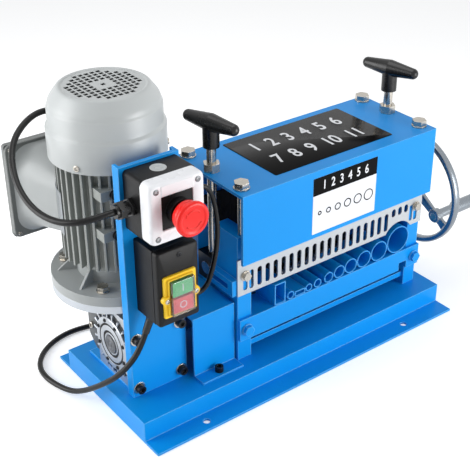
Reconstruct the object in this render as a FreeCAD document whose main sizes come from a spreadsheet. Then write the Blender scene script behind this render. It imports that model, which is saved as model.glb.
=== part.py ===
"""Electric wire stripping machine: motor, worm gearbox, feed rollers, slitting discs and controls."""
import FreeCAD, Part
import math
import os
import re

import Sketcher
from FreeCAD import Placement, Rotation, Vector

# Driving dimensions, in millimetres unless the name says otherwise
sizes = {
    # Base tray
    "base_left": -247.5, "base_margin": 15.7, "base_depth": 183, "base_height": 30, "base_sheet": 3,
    "foot_width": 28, "foot_hole_radius": 4.5, "foot_hole_end": 79.5, "foot_hole_inset": 14,
    # Head: end plates, cover and its bolts
    "cover_left": -88.2, "cover_end_gap": 2.3, "end_thick": 21, "end_rise": 180,
    "cover_length": 320, "cover_depth": 141, "cover_rise": 242, "cover_skirt": 94, "cover_sheet": 4,
    "cover_shift": 4, "pillar_radius": 5, "pillar_core": 4, "pillar_inset": 5, "pillar_sink": 15, "cover_room": 2.5,
    "rail_thick": 8, "rail_high": 22, "rail_rise": 99,
    # Shafts and the sliding bearing blocks
    "shaft_y": 5, "feed_z": 82, "blade_z": 138, "journal_radius": 7.5, "feed_core_radius": 9,
    "roller_radius": 12.5, "bearing_radius": 14, "bearing_wide": 9, "blade_shaft_radius": 8.5,
    "blade_radius": 25, "blade_thick": 2, "block_wide": 36, "block_high": 36, "block_lip": 4,
    "slide_down": 18, "slide_up": 20, "running_gap": 0.05, "slide_gap": 0.1,
    # Adjusting screws and T grips
    "screw_radius": 6, "screw_seat": 8, "grip_boss_z": 304, "grip_bar_z": 335, "grip_boss_radius": 10.3,
    "grip_mid_radius": 11.3, "grip_end_radius": 7.3, "grip_half": 35, "grip_turn": 13, "nut_flats": 19,
    "nut_high": 10.8,
    # Guide bar, bed and channels
    "bar_thick": 5, "bar_high": 31.5, "bed_sheet": 3, "bed_z": 92.5, "tube_wall": 1.4, "tube_front": 64,
    "tall_high": 31, "flat_high": 8, "tube_stop": 5,
    # Guard plate
    "guard_end_gap": 1, "guard_sheet": 2, "guard_low": 127.5, "guard_high": 52, "guard_slot_radius": 3.5,
    "guard_slot_low": 133, "guard_slot_high": 27, "guard_first": 1, "guard_last": 44.9, "guard_travel": 18,
    "guard_bolt_z": 155, "guard_bolt_radius": 3, "arch_gap": 7.3,
    # Motor plate and gearbox
    "drive_x": -192.5, "plate_wide": 78, "plate_high": 310, "plate_sheet": 5, "plate_front": 43.8,
    "plate_edge": 4, "plate_return": 12.7, "centre_distance": 40, "box_half": 34.4, "box_rise": 49,
    "box_low": 33, "hub_radius": 35.5, "hub_half": 38.5, "wheel_radius": 28.5, "wheel_wide": 24, "worm_radius": 10,
    "output_radius": 12, "stub_radius": 9, "coupling_radius": 20, "coupling_x": -123.5, "hub_long": 17,
    "spider_thick": 6, "plate_screw_reach": 30.5, "plate_screw_low": 12, "plate_screw_high": 83, "plate_screw_radius": 3,
    "plate_foot": 114,
    # Motor
    "flange_radius": 80, "box_flange_z": 143.4, "joint_z": 153.2, "motor_flange_z": 165.9, "frame_low": 186,
    "frame_top": 330, "frame_radius": 54, "fin_reach": 63, "fin_thick": 2.6, "rotor_radius": 32,
    "motor_shaft_radius": 7, "flange_pitch_radius": 65, "flange_bolt_radius": 4,
    "cowl_low": 318.3, "cowl_top": 399.9, "cowl_radius": 69.1, "cowl_neck_radius": 65.7,
    "cowl_flat_radius": 50.6, "cowl_step_z": 357, "cowl_shoulder_z": 376.8, "cowl_wall": 1.8,
    "fan_radius": 56, "fan_z": 348, "grille_radius": 42, "grille_pitch": 7.6, "grille_hole": 4.6,
    # Terminal box
    "term_half": 77, "term_high": 116, "term_z": 243, "term_lip": 5, "term_face": 149, "term_lid": 6, "term_flange": 4,
    "term_wall": 3, "term_inner_half": 52, "term_inner_high": 84, "term_start": 40, "entry_x": -199, "entry_y": 131.5,
    "entry_z": 298, "entry_long": 14,
    # Control boxes
    "control_x": -191, "stop_wide": 71, "stop_high": 73, "stop_z": 300, "stop_base_deep": 34,
    "stop_cover_deep": 18, "shell_wall": 3, "stop_window": 40, "collar_radius": 15, "collar_proud": 8,
    "cap_radius": 20.5, "cap_front": 126, "cap_deep": 17, "plunger_radius": 8, "stop_travel": 4,
    "switch_wide": 55, "switch_high": 97, "switch_low": 153, "switch_base_deep": 37, "switch_lid_deep": 10.2,
    "face_wide": 43.5, "face_high": 54, "face_z": 191.8, "face_thick": 3, "button_wide": 26,
    "button_high": 18.5, "button_gap": 3, "button_proud": 5, "button_play": 0.4,
    # Coupling cover
    "guard_box_x": -119.5, "guard_box_wide": 62, "guard_box_front": 56, "guard_box_back": 66,
    "guard_box_top": 117, "guard_box_sheet": 2.5, "guard_box_lip": 19,
    # Handwheel and crank
    "wheel_gap": 53.2, "rim_radius": 86, "rim_inner": 77, "rim_wide": 11, "hand_hub_radius": 16, "hand_hub_long": 26,
    "spoke_wide": 13, "spoke_thick": 7, "spoke_angle": 211, "crank_reach": 56, "crank_pin_radius": 5,
    "crank_neck_radius": 6.5, "crank_grip_radius": 9.5, "crank_neck_long": 30, "crank_grip_long": 50,
    # Leads
    "motor_lead_radius": 3.75, "link_lead_radius": 3, "mains_radius": 3.6, "coil_radius": 51, "coil_pitch": 7.9,
    "coil_turns": 2.25, "coil_x": -95, "coil_y": 190, "coil_lead_in": 9, "coil_tail": 36, "gland_flats": 19,
    "gland_long": 22, "grommet_radius": 4.5, "grommet_long": 4.5, "link_low_z": 160.4, "link_y": 66, "lead_y": 60,
    "link_high_z": 298, "relief_x": -212.5, "relief_y": -62, "relief_long": 20, "plug_long": 38, "plug_wide": 32,
    "plug_relief": 26, "pin_long": 19, "screw_head_radius": 3.6, "screw_shank_radius": 1.8, "screw_long": 8,
}

# Guide tubes from left to right: name, half width, gap to the next one on its right
channels = [
    ("tall", 8.75, 3.1), ("round_1", 5.8, 1.2), ("flat", 8.7, 0.6), ("round_2", 5.6, 3.1), ("round_3", 6.4, 5.0),
    ("round_4", 7.8, 1.4), ("round_5", 9.4, 0.4), ("round_6", 10.8, 0.5), ("round_7", 12.5, 0.4),
    ("round_8", 14.8, 0.5), ("round_9", 20.3, 0.6),
]
for channel_name, half, gap in channels:
    sizes[f"{channel_name}_half"] = half
    sizes[f"{channel_name}_gap"] = gap

# Dimensions that follow from others
follows = {
    "head_span": "cover_length - 2 * (cover_end_gap + end_thick)",
    "head_x": "cover_left + cover_length / 2",
    "wheel_x": "cover_left + cover_length + wheel_gap",
    "base_length": "cover_left + cover_length + base_margin - base_left",
    "guard_length": "cover_length - 2 * guard_end_gap",
    "guard_pitch": "(head_span - guard_last + guard_first) / 18",
    "end_depth": "cover_depth - 2 * (cover_sheet + cover_shift + cover_room)",
    "pillar_reach": "end_depth / 2 - pillar_inset",
}

doc = FreeCAD.newDocument("wire_stripper")
sheet = doc.addObject("Spreadsheet::Sheet", "Sizes")
for row, (alias, number) in enumerate({**sizes, **follows}.items(), start=1):
    sheet.set(f"A{row}", alias)
    sheet.set(f"B{row}", f"={number}" if alias in follows else str(number))
    sheet.setAlias(f"B{row}", alias)
doc.recompute()

probe = doc.addObject("App::FeaturePython", "Probe")
probe.addProperty("App::PropertyFloat", "Number")

nodes = {}
PLANES = {"xy": "XY_Plane", "xz": "XZ_Plane", "yz": "YZ_Plane"}
TURNS = {
    "x": Rotation(Vector(0, 1, 0), 90),
    "y": Rotation(Vector(1, 0, 0), -90),
    "z": Rotation(),
}


def formula(text):
    """Point the names in a formula at the sheet's cells."""
    def cell(match):
        word = match.group()
        return f"Sizes.{word}" if word in sizes or word in follows else word
    return re.sub(r"[a-z][a-z_0-9]*", cell, str(text))


def bind(item, **properties):
    """Bind each property of an item to a formula."""
    for prop, text in properties.items():
        item.setExpression(prop, formula(text))
    return item


def put(item, x=0, y=0, z=0, turn=None):
    """Place an item at a point given by three formulas."""
    if turn is not None:
        item.Placement = Placement(Vector(), turn)
    for axis, text in zip("xyz", (x, y, z)):
        item.setExpression(f"Placement.Base.{axis}", formula(text))
    return item


def box(length, width, height, x, y, z):
    """A block from its low corner."""
    item = doc.addObject("Part::Box", "Block")
    bind(item, Length=length, Width=width, Height=height)
    return put(item, x, y, z)


def rod(radius, length, x, y, z, axis="z"):
    """A cylinder from its low end along an axis."""
    item = doc.addObject("Part::Cylinder", "Rod")
    bind(item, Radius=radius, Height=length)
    return put(item, x, y, z, TURNS[axis])


def cone(low_radius, high_radius, length, x, y, z, axis="z"):
    """A truncated cone from its low end along an axis."""
    item = doc.addObject("Part::Cone", "Cone")
    bind(item, Radius1=low_radius, Radius2=high_radius, Height=length)
    return put(item, x, y, z, TURNS[axis])


def hexagon(flats, length, x, y, z, axis="z"):
    """A hexagonal bar across its flats, from its low end along an axis."""
    item = doc.addObject("Part::Prism", "Hexagon")
    item.Polygon = 6
    bind(item, Circumradius=f"({flats}) / 2 / cos(30 deg)", Height=length)
    return put(item, x, y, z, TURNS[axis])


def wedge(low_half, high_half, low_rise, high_rise, depth, x, y, z):
    """A block along Y whose centred rectangle grows from its low end to its high end."""
    item = doc.addObject("Part::Wedge", "Wedge")
    bind(item, Xmin=f"-({low_half})", Xmax=low_half, Zmin=f"-({low_rise})", Zmax=low_rise,
         X2min=f"-({high_half})", X2max=high_half, Z2min=f"-({high_rise})", Z2max=high_rise,
         Ymin=0, Ymax=depth)
    return put(item, x, y, z)


def fuse(*items):
    """Join items that touch into one solid, without seams between flush faces."""
    item = doc.addObject("Part::MultiFuse", "Joined")
    item.Shapes = list(items)
    item.Refine = True
    return item


def group(*items):
    """Keep like pieces as separate solids of one sub-part."""
    item = doc.addObject("Part::Compound", "Set")
    item.Links = list(items)
    return item


def cut(base, *tools):
    """Take tools away from a base."""
    item = doc.addObject("Part::Cut", "Cut")
    item.Base = base
    item.Tool = tools[0] if len(tools) == 1 else group(*tools)
    item.Refine = True
    return item


def common(first, second):
    """Keep what two items share."""
    item = doc.addObject("Part::Common", "Shared")
    item.Base = first
    item.Tool = second
    return item


def rounded(item, radius, wanted):
    """Round the edges of an item that a test accepts."""
    doc.recompute()
    chosen = [number for number, edge in enumerate(item.Shape.Edges, start=1) if wanted(edge)]
    result = doc.addObject("Part::Fillet", "Rounded")
    result.Base = item
    result.Edges = [(number, radius, radius) for number in chosen]
    return result


def along(direction):
    """A test for straight edges that run along a direction."""
    def wanted(edge):
        ends = edge.Vertexes
        if len(ends) != 2 or edge.Curve.TypeId != "Part::GeomLine":
            return False
        step = ends[1].Point - ends[0].Point
        return step.cross(direction).Length < 1e-6 * step.Length
    return wanted


def round_edge(edge):
    """A test for full circles."""
    return edge.Curve.TypeId == "Part::GeomCircle" and len(edge.Vertexes) == 1


def node(name, item):
    """Give a finished sub-part its name."""
    item.Label = name
    nodes[name] = item
    return item


def new_body(name):
    """A body that holds sketches and features."""
    body = doc.addObject("PartDesign::Body", name)
    return node(name, body)


def new_sketch(body, plane, offset=0):
    """A sketch on one of a body's own origin planes, moved along the plane's normal."""
    sketch = body.newObject("Sketcher::SketchObject", "Outline")
    origin_plane = next(item for item in body.Origin.OriginFeatures if item.Role == PLANES[plane])
    sketch.AttachmentSupport = [(origin_plane, "")]
    sketch.MapMode = "FlatFace"
    sketch.setExpression("AttachmentOffset.Base.z", formula(offset))
    return sketch


def fix(sketch, kind, geometry, point, text, guess):
    """Tie a sketch point's coordinate, or a circle's radius, to a formula."""
    if kind == "Radius":
        index = sketch.addConstraint(Sketcher.Constraint(kind, geometry, guess))
    else:
        index = sketch.addConstraint(Sketcher.Constraint(kind, -1, 1, geometry, point, guess))
    label = f"{kind}_{geometry}_{point}"
    sketch.renameConstraint(index, label)
    sketch.setExpression(f"Constraints.{label}", formula(text))


def polygon(sketch, corners):
    """Draw a closed outline whose corners are pairs of formulas."""
    first = len(sketch.Geometry)
    count = len(corners)
    guesses = [corner_guess(corner) for corner in corners]
    for number in range(count):
        start = guesses[number]
        end = guesses[(number + 1) % count]
        sketch.addGeometry(Part.LineSegment(start, end), False)
    for number in range(count):
        following = first + (number + 1) % count
        sketch.addConstraint(Sketcher.Constraint("Coincident", first + number, 2, following, 1))
    for number, (across, upward) in enumerate(corners):
        fix(sketch, "DistanceX", first + number, 1, across, guesses[number].x)
        fix(sketch, "DistanceY", first + number, 1, upward, guesses[number].y)


def measure(text):
    """The number that a formula gives, read from the probe's own property."""
    probe.setExpression("Number", formula(text))
    probe.recompute()
    return probe.Number


def corner_guess(corner):
    """Where a corner lies with the present sizes."""
    return Vector(measure(corner[0]), measure(corner[1]), 0)


def circle(sketch, across, upward, radius):
    """Draw a circle whose centre and radius are formulas."""
    centre = corner_guess((across, upward))
    number = sketch.addGeometry(Part.Circle(centre, Vector(0, 0, 1), measure(radius)), False)
    fix(sketch, "DistanceX", number, 3, across, centre.x)
    fix(sketch, "DistanceY", number, 3, upward, centre.y)
    fix(sketch, "Radius", number, 0, radius, measure(radius))


def pad(body, sketch, length):
    """Pad a sketch along its plane's normal."""
    feature = body.newObject("PartDesign::Pad", "Pad")
    feature.Profile = sketch
    return bind(feature, Length=length)


def pocket(body, sketch, length):
    """Cut a sketch into the body along its plane's normal."""
    feature = body.newObject("PartDesign::Pocket", "Pocket")
    feature.Profile = sketch
    feature.Reversed = True
    return bind(feature, Length=length)


def lathe(name, corners):
    """Turn a profile of radius and height about the vertical axis of its own body."""
    body = new_body(name)
    sketch = new_sketch(body, "xz")
    polygon(sketch, corners)
    feature = body.newObject("PartDesign::Revolution", "Turned")
    feature.Profile = sketch
    feature.ReferenceAxis = (sketch, ["V_Axis"])
    feature.Angle = 360
    return body


def polar(body, feature, axis_sketch, axis_name, count):
    """Repeat a feature round an axis."""
    pattern = body.newObject("PartDesign::PolarPattern", "Round")
    pattern.Originals = [feature]
    pattern.Axis = (axis_sketch, [axis_name])
    pattern.Angle = 360
    pattern.Occurrences = count
    body.Tip = pattern
    return pattern


# Direction in which the mains lead leaves the switch box
RELIEF_WAY = (-0.36, 0.06, -0.93)

# Places that several sub-parts share, as formulas
BASE_TOP = "base_height"
LEFT_INNER = "(head_x - head_span / 2)"
RIGHT_INNER = "(head_x + head_span / 2)"
LEFT_MID = "(head_x - head_span / 2 - end_thick / 2)"
RIGHT_MID = "(head_x + head_span / 2 + end_thick / 2)"
END_FRONT = "(-end_depth / 2)"
COVER_TOP = "(base_height + cover_rise)"
MOTOR_Y = "(shaft_y + centre_distance)"
PLATE_BACK = "(-plate_front + plate_sheet)"
SLOT_LOW = "(blade_z - block_high / 2 - slide_down - 0.5)"


def channel_places():
    """Centre of each channel, worked leftwards from the right end plate."""
    places = {}
    edge = RIGHT_INNER
    for name, _, _ in reversed(channels):
        centre = f"({edge} - {name}_gap - {name}_half)"
        places[name] = centre
        edge = f"({centre} - {name}_half)"
    return places


CHANNEL_X = channel_places()


def make_base():
    """Folded tray: hat section along X with both ends closed and four holes in its feet."""
    body = new_body("base_tray")
    body.setExpression("Placement.Base.x", formula("base_left"))
    sketch = new_sketch(body, "yz")
    top, foot = "base_depth / 2", "(base_depth / 2 + foot_width)"
    polygon(sketch, [
        (f"-{foot}", "0"), (f"-{top} + base_sheet", "0"), (f"-{top} + base_sheet", "base_height - base_sheet"),
        (f"{top} - base_sheet", "base_height - base_sheet"), (f"{top} - base_sheet", "0"), (foot, "0"),
        (foot, "base_sheet"), (top, "base_sheet"), (top, "base_height"), (f"-{top}", "base_height"),
        (f"-{top}", "base_sheet"), (f"-{foot}", "base_sheet"),
    ])
    pad(body, sketch, "base_length")
    for offset in ("0", "base_length - base_sheet"):
        end = new_sketch(body, "yz", offset)
        polygon(end, [
            (f"-{top} + base_sheet / 2", "0"), (f"{top} - base_sheet / 2", "0"),
            (f"{top} - base_sheet / 2", "base_height - base_sheet / 2"),
            (f"-{top} + base_sheet / 2", "base_height - base_sheet / 2"),
        ])
        pad(body, end, "base_sheet")
    holes = new_sketch(body, "xy")
    for side in (-1, 1):
        for place in ("foot_hole_end", "(base_length - foot_hole_end)"):
            circle(holes, place, f"{side} * (base_depth / 2 + foot_width - foot_hole_inset)", "foot_hole_radius")
    pocket(body, holes, "base_sheet")
    thread = new_sketch(body, "xy", "base_height - base_sheet")
    circle(thread, "guard_box_x - base_left", "-guard_box_front - guard_box_lip / 2",
           "plate_screw_radius + slide_gap")
    pocket(body, thread, "base_sheet")


def make_end_plate(name, middle, outward):
    """Thick end plate with an open slot for the bearing block and a stepped bore for the feed shaft."""
    plate = box("end_thick", "end_depth", "end_rise", f"{middle} - end_thick / 2", END_FRONT, BASE_TOP)
    slot = box("end_thick + 2", "block_wide + 2 * slide_gap", "end_rise",
               f"{middle} - end_thick / 2 - 1", "shaft_y - block_wide / 2 - slide_gap", SLOT_LOW)
    inner_face = LEFT_INNER if outward < 0 else RIGHT_INNER
    seat_x = f"{inner_face} - bearing_wide" if outward < 0 else inner_face
    seat = rod("bearing_radius + running_gap", "bearing_wide", seat_x, "shaft_y", "feed_z", "x")
    bore = rod("journal_radius + 1.5", "end_thick + 2", f"{middle} - end_thick / 2 - 1", "shaft_y", "feed_z", "x")
    bolt_holes = [
        rod("pillar_core + slide_gap", "pillar_sink + 1", middle, f"{side} * pillar_reach",
            "base_height + end_rise - pillar_sink")
        for side in (-1, 1)
    ]
    front_holes = [
        rod("guard_bolt_radius + slide_gap", "12", middle, END_FRONT, height, "y")
        for height in ("guard_bolt_z", "bed_z - bar_high / 2")
    ]
    solid = cut(plate, slot, seat, bore, *bolt_holes, *front_holes)
    if outward < 0:
        rail = box("rail_thick", "end_depth / 2 + 20", "rail_high",
                   f"{middle} - end_thick / 2 - rail_thick", END_FRONT, "base_height + rail_rise")
        gap = box("rail_thick + 2", "40", "rail_high / 3", f"{middle} - end_thick / 2 - rail_thick - 1",
                  "-end_depth / 2 + 10", "base_height + rail_rise + rail_high / 3")
        block_way = box("rail_thick + 2", "block_wide + 2 * slide_gap", "rail_high + 2",
                        f"{middle} - end_thick / 2 - rail_thick - 1",
                        "shaft_y - block_wide / 2 - slide_gap", "base_height + rail_rise - 1")
        solid = fuse(solid, cut(rail, gap, block_way))
    node(name, solid)


def make_cover():
    """Folded cover, open at both ends, with holes for the bolts and adjusting screws."""
    body = new_body("top_cover")
    body.setExpression("Placement.Base.x", formula("head_x - cover_length / 2"))
    sketch = new_sketch(body, "yz")
    front, back = "(-cover_depth / 2 - cover_shift)", "(cover_depth / 2 - cover_shift)"
    low = f"({COVER_TOP} - cover_skirt)"
    polygon(sketch, [
        (front, low), (f"{front} + cover_sheet", low), (f"{front} + cover_sheet", f"{COVER_TOP} - cover_sheet"),
        (f"{back} - cover_sheet", f"{COVER_TOP} - cover_sheet"), (f"{back} - cover_sheet", low), (back, low),
        (back, COVER_TOP), (front, COVER_TOP),
    ])
    pad(body, sketch, "cover_length")
    holes = new_sketch(body, "xy", f"{COVER_TOP} - cover_sheet")
    for middle in (LEFT_MID, RIGHT_MID):
        local = f"{middle} - head_x + cover_length / 2"
        circle(holes, local, "shaft_y", "screw_radius + 1")
        for side in (-1, 1):
            circle(holes, local, f"{side} * pillar_reach", "pillar_core + 3 * slide_gap")
    pocket(body, holes, "cover_sheet")


def cover_bolt(middle, side):
    """Long bolt: hexagon head and washer on the cover, bright shank down into the end plate."""
    y = f"{side} * pillar_reach"
    shank = rod("pillar_core", "cover_rise - end_rise + pillar_sink + 1", middle, y,
                "base_height + end_rise - pillar_sink")
    collar = rod("pillar_radius", "cover_rise - cover_sheet - end_rise", middle, y, "base_height + end_rise")
    washer = rod("2 * pillar_radius", "2", middle, y, COVER_TOP)
    head = hexagon("17", "7", middle, y, f"{COVER_TOP} + 2")
    return fuse(shank, collar, washer, head)


def adjuster_nut(middle):
    """Hexagon nut welded on the cover, in which an adjusting screw turns."""
    return cut(hexagon("nut_flats", "nut_high", middle, "shaft_y", COVER_TOP),
               rod("screw_radius + running_gap", "nut_high + 2", middle, "shaft_y", f"{COVER_TOP} - 1"))


def make_t_handle(side, middle):
    """Adjusting screw with a tapered T grip moulded on its top."""
    screw_low = "blade_z + block_high / 2 - screw_seat"
    screw = rod("screw_radius", f"grip_boss_z + 20 - ({screw_low})", middle, "shaft_y", screw_low)
    node(f"{side}_screw", screw)
    boss = rod("grip_boss_radius", "grip_bar_z - grip_boss_z", middle, "shaft_y", "grip_boss_z")
    halves = []
    for way in (-1, 1):
        half = doc.addObject("Part::Cone", "GripHalf")
        bind(half, Radius1="grip_mid_radius", Radius2="grip_end_radius", Height="grip_half")
        tip = doc.addObject("Part::Sphere", "GripTip")
        bind(tip, Radius="grip_end_radius")
        tip.setExpression("Placement.Base.z", formula("grip_half"))
        arm = fuse(half, tip)
        lay = Rotation(Vector(1, 0, 0), -90 * way)
        put(arm, middle, "shaft_y", "grip_bar_z", Rotation(Vector(0, 0, 1), sizes["grip_turn"]).multiply(lay))
        halves.append(arm)
    bore = rod("screw_radius + running_gap", "20 + running_gap", middle, "shaft_y", "grip_boss_z")
    node(f"{side}_t_grip", cut(fuse(boss, *halves), bore))


def make_guide_bar():
    """Angle across the front: upright bar with a notch, and a bed that carries the tubes."""
    bar = box("head_span + 2 * end_thick", "bar_thick", "bar_high", f"{LEFT_INNER} - end_thick",
              "-end_depth / 2 - bar_thick", "bed_z - bar_high")
    bed = box("head_span - 0.2", "end_depth / 2 + shaft_y - blade_radius - tube_stop + 0.5", "bed_sheet",
              f"{LEFT_INNER} + 0.1", "-end_depth / 2 - 0.5", "bed_z - bed_sheet")
    notch = box("14", "bar_thick + 2", "12", f"{RIGHT_INNER} - 16", "-end_depth / 2 - bar_thick - 1",
                "bed_z - bar_high")
    holes = [rod("guard_bolt_radius + slide_gap", "bar_thick + 2", middle, "-end_depth / 2 - bar_thick - 1",
                 "bed_z - bar_high / 2", "y") for middle in (LEFT_MID, RIGHT_MID)]
    node("guide_bar", cut(fuse(bar, bed), notch, *holes))
    bolts = []
    for middle in (LEFT_MID, RIGHT_MID):
        height = "bed_z - bar_high / 2"
        shank = rod("guard_bolt_radius", "bar_thick + 10", middle, "-end_depth / 2 - bar_thick", height, "y")
        washer = rod("8", "1.5", middle, "-end_depth / 2 - bar_thick - 1.5", height, "y")
        head = hexagon("13", "5.5", middle, "-end_depth / 2 - bar_thick - 7", height, "y")
        bolts.append(fuse(shank, washer, head))
    node("guide_bar_bolts", group(*bolts))


def make_guide_tubes():
    """Open tubes that lie side by side on the bed and end just before the rollers."""
    long = "tube_front + shaft_y - blade_radius - tube_stop"
    rounds = []
    for name, _, _ in channels:
        x, half = CHANNEL_X[name], f"{name}_half"
        if name.startswith("round"):
            outer = rod(half, long, x, "-tube_front", f"bed_z + {half}", "y")
            bore = rod(f"{half} - tube_wall", f"{long} + 2", x, "-tube_front - 1", f"bed_z + {half}", "y")
            rounds.append(cut(outer, bore))
        else:
            high = f"{name}_high"
            outer = box(f"2 * {half}", long, high, f"{x} - {half}", "-tube_front", "bed_z")
            bore = box(f"2 * ({half} - tube_wall)", f"{long} + 2", f"{high} - 2 * tube_wall",
                       f"{x} - {half} + tube_wall", "-tube_front - 1", "bed_z + tube_wall")
            node(f"{name}_guide_tube", cut(outer, bore))
    node("round_guide_tubes", group(*rounds))


def make_chute():
    """Sloping sheet below the rollers that lets peeled insulation slide out at the back."""
    body = new_body("waste_chute")
    body.setExpression("Placement.Base.x", formula(f"{LEFT_INNER} + slide_gap"))
    sketch = new_sketch(body, "yz")
    front, back = "(-end_depth / 2 + 4)", "(end_depth / 2)"
    polygon(sketch, [
        (front, "base_height + 12"), (f"{front} + 2", "base_height + 12"), (f"{front} + 2", "base_height + 17.5"),
        (back, BASE_TOP), (back, f"{BASE_TOP} + 2.2"), (front, "base_height + 20"),
    ])
    pad(body, sketch, "head_span - 2 * slide_gap")


def oblong(radius, low, high, x, thick, front):
    """An upright oblong hole cutter, its ends round, from a front face backwards."""
    return fuse(rod(radius, thick, x, front, f"{low} + {radius}", "y"),
                rod(radius, thick, x, front, f"{high} - {radius}", "y"),
                box(f"2 * {radius}", thick, f"{high} - ({low}) - 2 * {radius}", f"{x} - {radius}", front,
                    f"{low} + {radius}"))


def make_guard():
    """Slotted guard plate that slides up behind the cover on two bolts."""
    front = "(-end_depth / 2 - slide_gap - guard_sheet)"
    start, thick = f"{front} - 1", "guard_sheet + 2"
    plate = box("guard_length", "guard_sheet", "guard_high", "head_x - guard_length / 2", front, "guard_low")
    slot_top = "guard_slot_low + guard_slot_high"
    cutters = []
    for number in range(19):
        x = f"({LEFT_INNER} - guard_first + {number} * guard_pitch)"
        cutters.append(oblong("guard_slot_radius", "guard_slot_low", slot_top, x, thick, start))
    for number in range(3):
        x = f"({RIGHT_INNER} - 31.5 + {number} * 11.8)"
        cutters.append(oblong("3.5", "(guard_bolt_z - 4)", "(guard_bolt_z + 8)", x, thick, start))
    adjust_low = "(guard_bolt_z - guard_travel - guard_bolt_radius - 0.6)"
    adjust_top = "(guard_bolt_z + guard_bolt_radius + 0.4)"
    for x in (LEFT_MID, RIGHT_MID):
        cutters.append(oblong("(guard_bolt_radius + 0.4)", adjust_low, adjust_top, x, thick, start))
    cutters.append(oblong("3", f"({adjust_low} + 1)", adjust_top, f"({RIGHT_INNER} + 2)", thick, start))
    cutters.append(rod("round_9_half + arch_gap", thick, CHANNEL_X["round_9"], start, "bed_z + round_9_half", "y"))
    node("guard_plate", cut(plate, *cutters))
    bolts = []
    for middle in (LEFT_MID, RIGHT_MID):
        face = f"{front} - slide_gap"
        shank = rod("guard_bolt_radius", "guard_sheet + 2 * slide_gap + 10", middle, face, "guard_bolt_z", "y")
        washer = rod("7", "1.2", middle, f"{face} - 1.2", "guard_bolt_z", "y")
        head = hexagon("10", "4.5", middle, f"{face} - 5.7", "guard_bolt_z", "y")
        bolts.append(fuse(shank, washer, head))
    node("guard_bolts", group(*bolts))


def make_feed():
    """Lower shaft with a knurled roller under every channel, its bearings and the jaw coupling."""
    left_end = "coupling_x + spider_thick / 2"
    right_end = f"{RIGHT_INNER} + end_thick - 5"
    journal = rod("journal_radius", f"{right_end} - ({left_end})", left_end, "shaft_y", "feed_z", "x")
    core = rod("feed_core_radius", "head_span - 1", f"{LEFT_INNER} + 0.5", "shaft_y", "feed_z", "x")
    node("feed_shaft", fuse(journal, core))
    rollers = []
    for name, _, _ in channels:
        x, half = CHANNEL_X[name], f"{name}_half"
        ring = rod("roller_radius", f"2 * {half} - 1", f"{x} - {half} + 0.5", "shaft_y", "feed_z", "x")
        bore = rod("feed_core_radius", f"2 * {half} + 1", f"{x} - {half} - 0.5", "shaft_y", "feed_z", "x")
        rollers.append(cut(ring, bore))
    node("feed_rollers", group(*rollers))
    bearings = []
    for x in (f"{LEFT_INNER} - bearing_wide", RIGHT_INNER):
        bearings.append(cut(rod("bearing_radius", "bearing_wide", x, "shaft_y", "feed_z", "x"),
                            rod("journal_radius + running_gap", "bearing_wide + 2", f"{x} - 1", "shaft_y",
                                "feed_z", "x")))
    node("shaft_bearings", group(*bearings))
    half = "spider_thick / 2"
    hubs = []
    for x, bore in ((f"coupling_x - {half} - hub_long", "stub_radius"), (f"coupling_x + {half}", "journal_radius")):
        hub = rod("coupling_radius", "hub_long", x, "shaft_y", "feed_z", "x")
        hubs.append(cut(hub, rod(bore, "hub_long + 2", f"{x} - 1", "shaft_y", "feed_z", "x")))
    spider = cut(rod("coupling_radius - 1.5", "spider_thick", f"coupling_x - {half}", "shaft_y", "feed_z", "x"),
                 rod("stub_radius", "spider_thick + 2", f"coupling_x - {half} - 1", "shaft_y", "feed_z", "x"))
    node("jaw_coupling", group(*hubs, spider))


def make_blade_head():
    """Sliding bearing blocks, blade shaft, and the spacer sleeve that carries ten slitting discs."""
    blocks = []
    for middle, lip_x in ((LEFT_MID, f"{LEFT_INNER} + 2 * slide_gap"),
                          (RIGHT_MID, f"{RIGHT_INNER} - block_lip - 2 * slide_gap")):
        core = box("end_thick + 0.6", "block_wide", "block_high", f"{middle} - end_thick / 2 - 0.3",
                   "shaft_y - block_wide / 2", "blade_z - block_high / 2")
        lip = box("block_lip", "block_wide + 12", "block_high", lip_x, "shaft_y - block_wide / 2 - 6",
                  "blade_z - block_high / 2")
        bore = rod("blade_shaft_radius + running_gap", "end_thick + 20", f"{middle} - end_thick / 2 - 10",
                   "shaft_y", "blade_z", "x")
        seat = rod("screw_radius + running_gap", "screw_seat", middle, "shaft_y",
                   "blade_z + block_high / 2 - screw_seat")
        blocks.append(cut(fuse(core, lip), bore, seat))
    node("bearing_blocks", group(*blocks))
    left_end = f"{LEFT_INNER} - end_thick - 2"
    shaft = rod("blade_shaft_radius", f"wheel_x + rim_wide / 2 + 2 - ({left_end})", left_end, "shaft_y",
                "blade_z", "x")
    node("blade_shaft", shaft)
    sleeve_left = f"{LEFT_INNER} + 2 * slide_gap + block_lip + 0.4"
    sleeve_long = "head_span - 2 * (2 * slide_gap + block_lip + 0.4)"
    discs = [cut(rod("blade_shaft_radius + 4", sleeve_long, sleeve_left, "shaft_y", "blade_z", "x"),
                 rod("blade_shaft_radius", f"{sleeve_long} + 2", f"{sleeve_left} - 1", "shaft_y", "blade_z", "x"))]
    for name, _, _ in channels:
        if name == "flat":
            continue
        x = f"{CHANNEL_X[name]} - blade_thick / 2"
        disc = rod("blade_radius - 1.6", "blade_thick", x, "shaft_y", "blade_z", "x")
        edge_left = cone("blade_radius - 1.6", "blade_radius", "blade_thick / 2", x, "shaft_y", "blade_z", "x")
        edge_right = cone("blade_radius", "blade_radius - 1.6", "blade_thick / 2", f"{CHANNEL_X[name]}", "shaft_y",
                          "blade_z", "x")
        bore = rod("blade_shaft_radius + 4", "blade_thick + 2", f"{x} - 1", "shaft_y", "blade_z", "x")
        discs.append(cut(fuse(disc, edge_left, edge_right), bore))
    node("blade_discs", group(*discs))


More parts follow.
